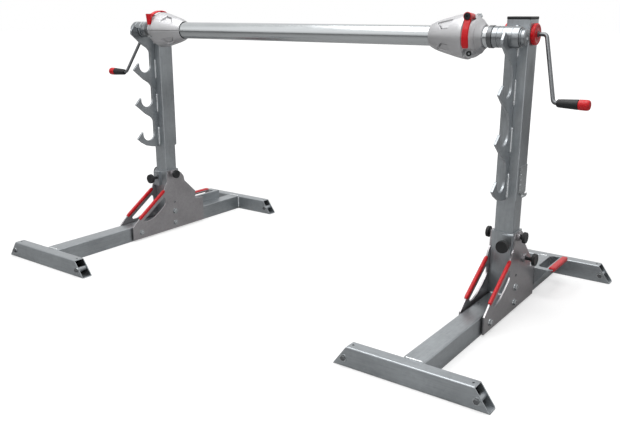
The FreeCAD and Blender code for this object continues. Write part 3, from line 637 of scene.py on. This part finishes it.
class DRUMJACK_OT_welds(bpy.types.Operator):
    """Weld seams between rail, mast, socket, beam and feet"""
    bl_idname = "drumjack.welds"
    bl_label = "Welds"

    def execute(self, context):
        front = -HALF_MAST - 0.0008
        half_rail, seam = 0.0048, 0.078
        half, half_side, on_beam = HALF_MAST + 0.0005, 0.029, 0.0605
        beam_side, beam_half_top, beam_top = 0.0305, 0.027, 0.0602
        for name, sign in SIDES:
            rail = []
            top = highs(name + "_hook_rail")[2] - 0.012
            for step in range(HOOKS):
                high = top - HOOK_PITCH * step
                for out in (half_rail, -half_rail):
                    rail.append(bead(jack_point(sign, out, front, high),
                                     jack_point(sign, out, front, high - seam),
                                     ALONG_X, 0.0034))
            add_piece(name + "_rail_welds", rail, name + "_mast", "weld")
            base = []
            for out in (-half, half):
                base.append(bead(jack_point(sign, out, -half, on_beam),
                                 jack_point(sign, out, half, on_beam), ALONG_X))
            for back in (-half, half):
                base.append(bead(jack_point(sign, -half_side, back, on_beam),
                                 jack_point(sign, half_side, back, on_beam), ALONG_Y))
            x = sign * MAST_X
            for edge in (highs(name + "_front_foot")[1], lows(name + "_rear_foot")[1]):
                for out in (-beam_side, beam_side):
                    base.append(bead((x + out, edge, 0.004), (x + out, edge, 0.057), ALONG_X))
                base.append(bead((x - beam_half_top, edge, beam_top),
                                 (x + beam_half_top, edge, beam_top), ALONG_Y))
            add_piece(name + "_base_welds", base, "base", "weld")
        return {"FINISHED"}


class DRUMJACK_OT_axle(bpy.types.Operator):
    """Axle tube, journals with collars and rings, and bearing sleeves"""
    bl_idname = "drumjack.axle"
    bl_label = "Axle"

    def execute(self, context):
        low, high = lows("axle_tube"), highs("axle_tube")
        length = high[0] - low[0]
        tube = [(0, 0.0255), (0.0, 0.0295), (0.0006, 0.03), (length - 0.0006, 0.03),
                (length, 0.0295), (length, 0.0255)]
        journal = [(-0.0462, 0), (-0.0462, 0.022), (0.0333, 0.022), (0.0333, 0.0255),
                   (0.0338, 0.026), (0.0358, 0.026), (0.0363, 0.0255), (0.0363, 0.022),
                   (0.045, 0.022), (0.048, 0.019), (0.048, 0.006), (0.044, 0.004), (0.044, 0)]
        collar = [(-0.06, 0), (-0.06, 0.031), (-0.059, 0.032), (-0.047, 0.032),
                  (-0.046, 0.031), (-0.046, 0)]
        sleeve = [(-0.0457, 0.0221), (-0.0457, 0.029), (-0.0447, 0.03), (-0.031, 0.03),
                  (-0.0302, 0.0288), (-0.0275, 0.0288), (-0.0267, 0.03), (-0.016, 0.03),
                  (-0.0152, 0.0291), (-0.0135, 0.0291), (-0.0127, 0.03), (0.012, 0.03),
                  (0.0126, 0.0292), (0.0142, 0.0292), (0.0148, 0.03), (0.0318, 0.03),
                  (0.033, 0.0288), (0.033, 0.0221)]

        def at_both_ends(profile, steps):
            return [lathe((sign * MAST_X, AXLE[1], AXLE[2]), (sign, 0, 0), profile, steps)
                    for _, sign in SIDES]

        add_piece("axle_tube_turned",
                  [lathe((low[0], AXLE[1], AXLE[2]), ALONG_X, tube, 96)], "axle",
                  "polished tube", ("axle_tube",))
        add_piece("axle_journals_turned", at_both_ends(journal, 64), "axle", "sleeve steel",
                  ("axle_journals",))
        # The collars are real parts, but their dark finish is painted shade in the gap between
        # mast head and cone.
        add_piece("axle_collars_with_painted_shade", at_both_ends(collar, 64), "axle", "dark steel and painted shade")
        add_piece("bearing_sleeves_turned", at_both_ends(sleeve, 80), "axle_carrier",
                  "sleeve steel", ("bearing_sleeves",))
        return {"FINISHED"}


def smooth(value, start, end):
    """Soft step from 0 at start to 1 at end."""
    t = np.clip((value - start) / (end - start), 0, 1)
    return t * t * (3 - 2 * t)


def between(value, low, high, soft):
    """1 between low and high and 0 outside, with soft steps inside both ends."""
    return smooth(value, low, low + soft) * (1 - smooth(value, high - soft, high))


CONE_OUTLINE = [(0.072, 0.0315), (0.073, 0.0345), (0.078, 0.0385), (0.085, 0.0467),
                (0.092, 0.0548), (0.098, 0.0597), (0.102, 0.062), (0.108, 0.0645),
                (0.114, 0.0656), (0.120, 0.066), (0.127, 0.0657), (0.133, 0.065),
                (0.146, 0.0624), (0.162, 0.0587), (0.180, 0.0541), (0.200, 0.0489),
                (0.212, 0.0455), (0.226, 0.0405), (0.233, 0.0372), (0.2385, 0.0345),
                (0.240, 0.0333)]
CONE_ROLL = {"front": 0.0, "rear": math.pi, "top": -math.pi / 2, "bottom": math.pi / 2}
CONE_SIDES = (("right", 1.0, ("front", "rear")), ("left", -1.0, ("top", "bottom")))
CLAMP = 0.106
STUD_Z = 0.056
STUD_SEAT = 0.02
SCREW_Z = 0.047
SCREW_SEAT = 0.033
SHELL_GAP = 0.0017
TAPER_BORE = (0.2335, 0.0318, 0.0301)


def with_pockets(skin, distance, aside):
    """Sink the two flat pockets into the skin.

    aside is the angle from the middle of the half. A pocket's floor is a plane,
    so its radius is floor / cos(aside - 40.5 degrees); its outline is a
    trapezoid that widens from 23 to 58 degrees, with a groove along its short
    and slanted sides.
    """
    start, end = math.radians(23), math.radians(58)
    share = (aside - start) / (end - start)
    low = 0.168 - 0.011 * share
    high = 0.192 + 0.023 * share
    inside = smooth(share, 0.0, 0.05) * (1 - smooth(share, 0.93, 1.0))
    inside = inside * between(distance, low, high, 0.0018)
    depth = 0.55 * bpy.context.scene.jack_shape.pocket_depth
    flat = skin * math.cos((end - start) / 2) - depth
    floor = flat / np.cos(aside - (start + end) / 2)
    well = smooth(share, 0.10, 0.16) * between(distance, low + 0.0035, high - 0.0035, 0.0015)
    groove = inside * (1 - well) * (1 - smooth(share, 0.45, 0.8))
    return skin + (np.minimum(floor, skin) - skin) * inside - depth * groove


def cone_half(sign, direction):
    """Half shell of a cone.

    The outer skin has the radius of the outline at each distance from the mast,
    less the channel and the pockets, which are soft steps in distance and angle.
    The seat of the stud pushes the skin in to a flat 20 mm from the axis, and a
    flat facet 33 mm from it carries the screw on the other side.
    """
    outline = np.array(CONE_OUTLINE)
    distance = np.concatenate([np.linspace(0.072, 0.0728, 3), np.linspace(0.0735, 0.238, 200),
                               np.linspace(0.2385, 0.240, 4)])
    radius = np.interp(distance, outline[:, 0], outline[:, 1])
    kernel = np.hanning(11)[1:-1]
    radius[8:-8] = np.convolve(radius, kernel / kernel.sum(), "same")[8:-8]
    angle = np.linspace(0, math.pi, 161)
    d, a = np.meshgrid(distance, angle, indexing="ij")
    channel = smooth(d, 0.0875, 0.0895) * (1 - smooth(d, 0.1195, 0.122))
    skin = radius[:, None] - bpy.context.scene.jack_shape.channel_depth * channel
    skin = with_pockets(skin, d, np.abs(a - math.pi / 2))
    outward = -skin * np.sin(a)
    upward = skin * np.cos(a)
    stud_side = sign if direction in ("front", "top") else -sign
    from_stud = np.hypot(d - CLAMP, upward - stud_side * STUD_Z)
    seat = 1 - smooth(from_stud, 0.0132, 0.0142)
    sunk = np.maximum(outward, outward + (-STUD_SEAT - outward) * seat)
    beside = -upward * stud_side
    reach = 0.0105 + 0.42 * (beside - 0.034)
    facet = smooth(beside, 0.0335, 0.0345) * (1 - smooth(np.abs(d - CLAMP), reach - 0.0012,
                                                         reach))
    sunk = np.maximum(sunk, sunk + (-SCREW_SEAT - sunk) * facet)
    outer = np.stack([(MAST_X - d) * sign, sunk, upward], -1)
    step, wide, narrow = TAPER_BORE
    bore = np.where(distance > step, wide, narrow)[:, None]
    inner = np.stack([(MAST_X - d) * sign, -bore * np.sin(a), bore * np.cos(a)], -1)
    grid = np.concatenate([outer, inner[::-1]])
    grid[..., 1] = np.minimum(grid[..., 1], -SHELL_GAP / 2)
    points, faces = surface(grid, wrap_rows=True, wrap_columns=False)
    count, columns = grid.shape[:2]
    near = np.arange(len(outer) - 1)
    far = count - 1 - near
    caps = np.stack([near, near + 1, far - 1, far], -1) * columns
    faces = np.concatenate([faces, caps, caps + columns - 1])
    return rolled((points, faces), direction)


def rolled(part, direction):
    """Turn a part about the axle's axis and bring it to its place."""
    points, faces = part
    roll = CONE_ROLL[direction]
    y = points[:, 1] * math.cos(roll) - points[:, 2] * math.sin(roll)
    z = points[:, 1] * math.sin(roll) + points[:, 2] * math.cos(roll)
    return np.stack([points[:, 0], y + AXLE[1], z + AXLE[2]], -1), faces


class DRUMJACK_OT_cones(bpy.types.Operator):
    """Cast half shells of the two drum cones with channel, pockets and screws"""
    bl_idname = "drumjack.cones"
    bl_label = "Drum cones"

    def execute(self, context):
        screw = [(0, 0), (0, 0.0075), (0.0045, 0.0075), (0.0055, 0.0065), (0.0055, 0.004),
                 (0.001, 0.004), (0.001, 0)]
        rim = [(0, 0), (0, 0.0098), (0.0012, 0.0098), (0.0018, 0.0092), (0.0018, 0)]
        for name, sign, directions in CONE_SIDES:
            body = name + "_cone"
            for direction in directions:
                node = body + "_" + direction
                add_piece(node + "_cast", [cone_half(sign, direction)], body,
                          "cast aluminium", (node,), sharp=50, weigh=False)
            place = (sign * (MAST_X - CLAMP), 0.0005 - SCREW_SEAT, -SCREW_Z * sign)
            for ending, profile, steps, finish in (
                    ("_screw_rim", rim, 40, "bright steel along X"),
                    ("_screw", screw, 36, "black plastic")):
                part = lathe(place, (0, -1, 0), profile, steps)
                add_piece(body + ending, [rolled(part, directions[0])], body, finish)
        return {"FINISHED"}


def lever_arm(x, sign):
    """Arm of the lever: a bar whose inner face follows the cone.

    The inner edge is the circle of radius 67.2 mm about the axle. The outer
    edge runs straight from the hub to 72 degrees and is then the circle of
    radius 72.5 mm; both end 26 degrees beyond the level of the axis.
    """
    first, knee, last = 38, 72, 116
    inner_radius, outer_radius = 0.0672, 0.0725
    degrees = np.linspace(first, last, 56)
    turn = np.radians(degrees)
    round_line = np.stack([np.cos(turn), np.sin(turn)], -1)
    inner = inner_radius * round_line
    at_knee = outer_radius * np.array([math.cos(math.radians(knee)),
                                       math.sin(math.radians(knee))])
    hub = np.array([0.0470, 0.0585])
    share = np.clip((degrees - first) / (knee - first), 0, 1)[:, None]
    outer = np.where(share < 1, hub + (at_knee - hub) * share, outer_radius * round_line)
    tip = 1 - smooth(degrees, 112, last)[:, None] * 0.3
    middle_line = (inner + outer) / 2
    inner = middle_line + (inner - middle_line) * tip
    outer = middle_line + (outer - middle_line) * tip
    half = np.interp(degrees, [first, 110, last], [0.0095, 0.0105, 0.0088])
    edge = 0.0022
    along = unit(outer - inner) * edge
    low, high = inner + along, outer - along
    flat = np.stack([low, high, outer, outer, high, low, inner, inner], 1)
    narrow = half - edge
    aside = np.stack([half, half, narrow, -narrow, -half, -half, -narrow, narrow], 1)
    rows = np.stack([x + aside, -flat[..., 1], sign * flat[..., 0]], -1)
    ends = np.broadcast_to(rows.mean(axis=1, keepdims=True), rows.shape)
    return surface(np.concatenate([ends[:1], rows, ends[-1:]]))


class DRUMJACK_OT_levers(bpy.types.Operator):
    """Red clamping levers that curve round the cones, with stud and nut"""
    bl_idname = "drumjack.levers"
    bl_label = "Clamping levers"

    def execute(self, context):
        hub = [(0, 0), (0, 0.0078), (0.0375, 0.0118), (0.0385, 0.0123), (0.0395, 0.0118),
               (0.0395, 0.0104), (0.036, 0.0102), (0.036, 0)]
        socket = [(0, 0), (0, 0.0099), (0.003, 0.0099), (0.0038, 0.0092), (0.0038, 0.0042),
                  (0.0006, 0.0038), (0.0006, 0)]
        nut = [(0, 0), (0, 0.0088), (0.0005, 0.0095), (0.0062, 0.0095), (0.0067, 0.0088),
               (0.0067, 0.006), (0.0077, 0.005), (0.0077, 0)]
        hub_seat, stud_seat, nut_seat = 0.0205, 0.0568, 0.0203
        for name, sign, directions in CONE_SIDES:
            x = sign * (MAST_X - CLAMP)
            z = STUD_Z * sign
            body = name + "_lever"

            def put(ending, parts, finish, replaced=(), sharp=38):
                parts = [rolled(part, directions[0]) for part in parts]
                add_piece(name + "_cone" + ending, parts, body, finish, replaced, sharp)

            put("_lever_moulded",
                [lathe((x, -hub_seat, z), (0, -1, 0), hub, 48), lever_arm(x, sign)],
                "red plastic", (name + "_cone_lever",))
            put("_stud", [lathe((x, -stud_seat, z), (0, -1, 0), socket, 32)],
                "black plastic")
            put("_nut", [lathe((x, nut_seat, z), ALONG_Y, nut, 6)], "bright steel along X",
                sharp=25)
        return {"FINISHED"}


def soft_grip(start, end, section):
    """A straight grip that is drawn in to 0.8 of its section at both ends."""
    s = np.linspace(0, 1, 24)
    scale = 0.8 + 0.2 * smooth(np.minimum(s, 1 - s), 0, 0.05)
    return sweep(start + (end - start) * s[:, None], section, ALONG_X, scale)


class DRUMJACK_OT_grips(bpy.types.Operator):
    """Soft red grips on the handle edges"""
    bl_idname = "drumjack.grips"
    bl_label = "Grips"

    def execute(self, context):
        section = rounded_section(0.0105, 0.0145, 0.0042)
        low_end, high_end, off_edge = (-0.1955, 0.0855), (-0.0535, 0.178), 0.0036
        for name, sign in SIDES:
            parts = []
            for out in (0.0375, -0.0375):
                start = jack_point(sign, out, *low_end)
                end = jack_point(sign, out, *high_end)
                shift = off_edge * np.cross(ALONG_X, unit(end - start))
                parts.append(soft_grip(start + shift, end + shift, section))
            add_piece(name + "_front_grips_soft", parts, "base", "red plastic",
                      (name + "_front_grips",))
            node = name + "_rear_grip"
            centre, size = middle(node), highs(node) - lows(node)
            reach = np.array([0, size[1] / 2, 0])
            part = soft_grip(centre - reach, centre + reach,
                             rounded_section(size[0], size[2], 0.0052))
            add_piece(node + "_soft", [part], "base", "red plastic", (node,))
        return {"FINISHED"}


class DRUMJACK_OT_plungers(bpy.types.Operator):
    """Sprung plungers with round knobs"""
    bl_idname = "drumjack.plungers"
    bl_label = "Plungers"

    def execute(self, context):
        bend = 0.6 * context.scene.jack_shape.knob_round
        for name, sign in SIDES:
            for tag, direction, thick in (("front", (0, -1, 0), 0.012),
                                          ("outer", (sign, 0, 0), 0.01),
                                          ("inner", (-sign, 0, 0), 0.01),
                                          ("rear", (sign, 0, 0), 0.011)):
                node = name + "_plunger_" + tag
                low, high = lows(node), highs(node)
                axis, other = (1, 0) if tag == "front" else (0, 1)
                start = middle(node)
                start[axis] = low[axis] if direction[axis] > 0 else high[axis]
                radius = (high[other] - low[other]) / 2
                length = high[axis] - low[axis]
                knob = length - thick
                corners = [(0, 0), (0, 0.0048), (0.0012, 0.006), (knob - 0.006, 0.006),
                           (knob - 0.006, 0.009), (knob, 0.0095), (knob, radius),
                           (length, radius - 0.001), (length - 0.0012, radius * 0.45),
                           (length - 0.001, 0)]
                part = lathe(start, direction, rounded_profile(corners, bend))
                add_piece(node + "_knob", [part], body_of_node(node), "black plastic",
                          (node,))
        return {"FINISHED"}


class DRUMJACK_OT_covers(bpy.types.Operator):
    """Round red covers on both faces of each mast head"""
    bl_idname = "drumjack.covers"
    bl_label = "Bearing covers"

    def execute(self, context):
        rim = [(0, 0.0305), (0.0095, 0.031), (0.012, 0.0275), (0.0112, 0.02),
               (0.0112, 0.0145)]
        pierced = [(0, 0.0083)] + rim + [(0.012, 0.0135), (0.012, 0.0083)]
        blind = [(0, 0)] + rim + [(0.0118, 0.0125), (0.012, 0)]
        for name, sign in SIDES:
            parts = []
            for direction, corners in ((sign, pierced), (-sign, blind)):
                start = (sign * MAST_X + direction * HALF_MAST, MAST_Y, CRANK_Z)
                parts.append(lathe(start, (direction, 0, 0), rounded_profile(corners, 0.002),
                                   72))
            node = name + "_crank_covers"
            add_piece(node + "_moulded", parts, name + "_mast", "red plastic", (node,))
        return {"FINISHED"}


def short_shaft(name, sign):
    """The crank shaft's own form, ending inside the cover as the rod takes over."""
    node = name + "_crank_shaft"
    mesh = own_mesh(node, "_short")
    points = corners_of(mesh)
    points[:, 0] = sign * np.minimum(sign * points[:, 0], MAST_X + HALF_MAST + 0.0132)
    mesh.vertices.foreach_set("co", points.ravel())
    clean(mesh)
    dress(mesh.name, mesh, body_of_node(node), "bright steel along X", (node,), 30)


class DRUMJACK_OT_cranks(bpy.types.Operator):
    """Bent crank rods with their bosses and two-coloured grips"""
    bl_idname = "drumjack.cranks"
    bl_label = "Cranks"

    def execute(self, context):
        boss = [(0.0122, 0.0), (0.0122, 0.0082), (0.0152, 0.0082), (0.016, 0.0075),
                (0.016, 0.0)]
        black = [(0, 0.0062), (0, 0.0088), (0.003, 0.0112), (0.016, 0.0122),
                 (0.036, 0.0131), (0.0575, 0.0143), (0.0595, 0.0136), (0.0595, 0.0062)]
        red = [(0.06, 0.0), (0.06, 0.0137), (0.0612, 0.0145), (0.082, 0.015),
               (0.0875, 0.0136), (0.09, 0.0105), (0.0897, 0)]
        throw = CRANK_THROW * np.array([0, -math.sin(CRANK_TILT), -math.cos(CRANK_TILT)])
        root, elbow, foot, grip, end = 0.0128, 0.037, 0.096, 0.106, 0.194
        for name, sign in SIDES:
            out = np.array([sign, 0, 0])
            face = np.array([sign * (MAST_X + HALF_MAST), MAST_Y, CRANK_Z])
            corners = [face + root * out, face + elbow * out, face + foot * out + throw,
                       face + end * out + throw]
            rod = sweep(rounded_profile(corners, 0.011, 12), 0.006 * circle(24),
                        unit(np.cross(out, throw)))
            add_piece(name + "_crank_rod", [rod, lathe(face, out, boss, 40)],
                      name + "_crank", "dark steel and painted shade", (name + "_crank_arm",))
            start = face + grip * out + throw
            for ending, profile, bend, finish, replaced in (
                    ("black", black, 0.004, "black plastic", (name + "_crank_grip",)),
                    ("end", red, 0.003, "red plastic", ())):
                add_piece(name + "_crank_grip_" + ending,
                          [lathe(start, out, rounded_profile(profile, bend), 56)],
                          name + "_grip", finish, replaced)
            short_shaft(name, sign)
            paint(name + "_spindle", "bright steel along Z")
        paint("spindle_nuts", "bronze")
        return {"FINISHED"}


class DRUMJACK_OT_fasteners(bpy.types.Operator):
    """Bolts with washers and hexagon heads in feet, beams and sockets"""
    bl_idname = "drumjack.fasteners"
    bl_label = "Fasteners"

    def execute(self, context):
        parts, heads = [], []
        plate_face, from_end, foot_bolt_z = 0.04, 0.034, 0.025
        for name, sign in SIDES:
            x = sign * MAST_X
            for back, height, radius in ((0, 0.081, 0.01), (0, 0.03, 0.009),
                                         (-0.19, 0.03, 0.009)):
                y = MAST_Y + back
                parts += bolt((x + plate_face, y, height), ALONG_X, radius, 0.007)
                parts += bolt((x - plate_face, y, height), (-1, 0, 0), radius, 0.008)
            for node in ("front_foot", "rear_foot"):
                low, high = lows(name + "_" + node), highs(name + "_" + node)
                for end in (-1, 1):
                    place = x + end * ((high[0] - low[0]) / 2 - from_end)
                    for edge, out in ((low[1], -1), (high[1], 1)):
                        head, washer = bolt((place, edge, foot_bolt_z), (0, out, 0),
                                            0.0082, 0.005)
                        heads.append(head)
                        parts.append(washer)
        add_piece("foot_bolt_heads", heads, "base", "dark steel and painted shade", sharp=25)
        add_piece("base_bolts", parts, "base", "bright steel along X", ("base_fasteners",),
                  sharp=25)
        return {"FINISHED"}


class DRUMJACK_OT_stage(bpy.types.Operator):
    """Camera, lamps, room light and floor"""
    bl_idname = "drumjack.stage"
    bl_label = "Stage"

    def execute(self, context):
        stage = context.scene.jack_stage
        camera = bpy.data.cameras.new("Camera")
        camera.sensor_fit = "HORIZONTAL"
        camera.sensor_width = 36
        camera.lens = stage.camera_lens
        camera.clip_end = 100
        holder = bpy.data.objects.new("Camera", camera)
        holder.location = stage.camera_place
        holder.rotation_euler = (math.pi / 2 - stage.camera_down, 0, stage.camera_turn)
        context.scene.collection.objects.link(holder)
        context.scene.camera = holder
        self.lamp("Key lamp", stage.key_power, (-1.6, -2.6, 3.0), 3.6)
        self.lamp("Fill lamp", stage.fill_power, (3.2, 0.2, 2.2), 2.2)
        self.lamp("Top lamp", stage.top_power, (0.1, -0.5, 3.3), 3.2)
        self.lamp("Low lamp", stage.low_power, (2.1, -2.9, 0.35), 0.7)
        self.room(context, stage.room_light)
        self.floor(context)
        context.scene.view_settings.view_transform = "Standard"
        return {"FINISHED"}

    def lamp(self, name, power, place, size):
        """Square lamp that faces the middle of the object."""
        data = bpy.data.lights.new(name, "AREA")
        data.energy = power
        data.size = size
        lamp = bpy.data.objects.new(name, data)
        lamp.location = place
        aim = np.array([0, 0, 0.4]) - np.array(place)
        yaw = math.atan2(aim[0], -aim[1])
        pitch = math.atan2(math.hypot(aim[0], aim[1]), -aim[2])
        lamp.rotation_euler = (pitch, 0, yaw + math.pi)
        bpy.context.scene.collection.objects.link(lamp)

    def room(self, context, strength):
        """Even grey light, shown white to camera, mirror and glass rays."""
        world = bpy.data.worlds.new("Room")
        made = Wiring(world)
        background = made.tree.nodes["Background"]
        background.inputs["Color"].default_value = (1, 1, 1, 1)
        path = made.node("LightPath").outputs
        seen = path["Is Camera Ray"]
        for key in ("Is Glossy Ray", "Is Transmission Ray"):
            seen = made.joint(seen, path[key], "MAXIMUM")
        made.link(made.ranged(seen, strength, 1.0, 0.0, 1.0), background.inputs["Strength"])
        context.scene.world = world

    def floor(self, context):
        """Wide pale floor that keeps the soft shadow and fades to white far off."""
        reach, below = 30, -0.0005
        mesh = bpy.data.meshes.new("Floor")
        mesh.from_pydata([(-reach, -reach, below), (reach, -reach, below),
                          (reach, reach, below), (-reach, reach, below)], [], [(0, 1, 2, 3)])
        material = bpy.data.materials.new("pale floor")
        made = Wiring(material)
        pale = made.tree.nodes["Principled BSDF"].inputs
        for key, value in (("Base Color", (0.5, 0.5, 0.5, 1)), ("Roughness", 0.9),
                           ("Specular IOR Level", 0.0), ("Emission Color", (1, 1, 1, 1))):
            pale[key].default_value = value
        distance = made.node("VectorMath", operation="LENGTH")
        made.link(made.node("TexCoord").outputs["Object"], distance.inputs[0])
        rising = made.ranged(distance.outputs["Value"], 0.56, 1.0, 1.2, 3.2)
        glow = made.joint(made.node("LightPath").outputs["Is Camera Ray"], rising, "MULTIPLY")
        made.link(glow, pale["Emission Strength"])
        mesh.materials.append(material)
        plane = bpy.data.objects.new("Floor", mesh)
        context.scene.collection.objects.link(plane)


STEPS = (DRUMJACK_OT_tubes, DRUMJACK_OT_plates, DRUMJACK_OT_parking_clips, DRUMJACK_OT_welds,
         DRUMJACK_OT_axle, DRUMJACK_OT_cones, DRUMJACK_OT_levers, DRUMJACK_OT_grips,
         DRUMJACK_OT_plungers, DRUMJACK_OT_covers, DRUMJACK_OT_cranks, DRUMJACK_OT_fasteners,
         DRUMJACK_OT_stage)


class DRUMJACK_PT_panel(bpy.types.Panel):
    """Sizes, colours and the steps that make the pieces"""
    bl_idname = "DRUMJACK_PT_panel"
    bl_label = "Cable drum jack"
    bl_space_type = "VIEW_3D"
    bl_region_type = "UI"
    bl_category = "Drum jack"

    def draw(self, context):
        column = self.layout.column()
        for key, _ in GROUPS:
            values = getattr(context.scene, key)
            for entry in values.__annotations__:
                column.prop(values, entry)
        for step in STEPS:
            column.operator(step.bl_idname)


GROUPS = (("jack_shape", JackShape), ("jack_colours", JackColours), ("jack_stage", JackStage))
CLASSES = tuple(group for _, group in GROUPS) + STEPS + (DRUMJACK_PT_panel,)


def register():
    for kind in CLASSES:
        bpy.utils.register_class(kind)
    for key, group in GROUPS:
        setattr(bpy.types.Scene, key, bpy.props.PointerProperty(type=group))


def unregister():
    for key, _ in GROUPS:
        delattr(bpy.types.Scene, key)
    for kind in reversed(CLASSES):
        bpy.utils.unregister_class(kind)


def main():
    """Register and run every step in order."""
    register()
    for step in STEPS:
        group, name = step.bl_idname.split(".")
        getattr(getattr(bpy.ops, group), name)()


if __name__ == "__main__":
    main()
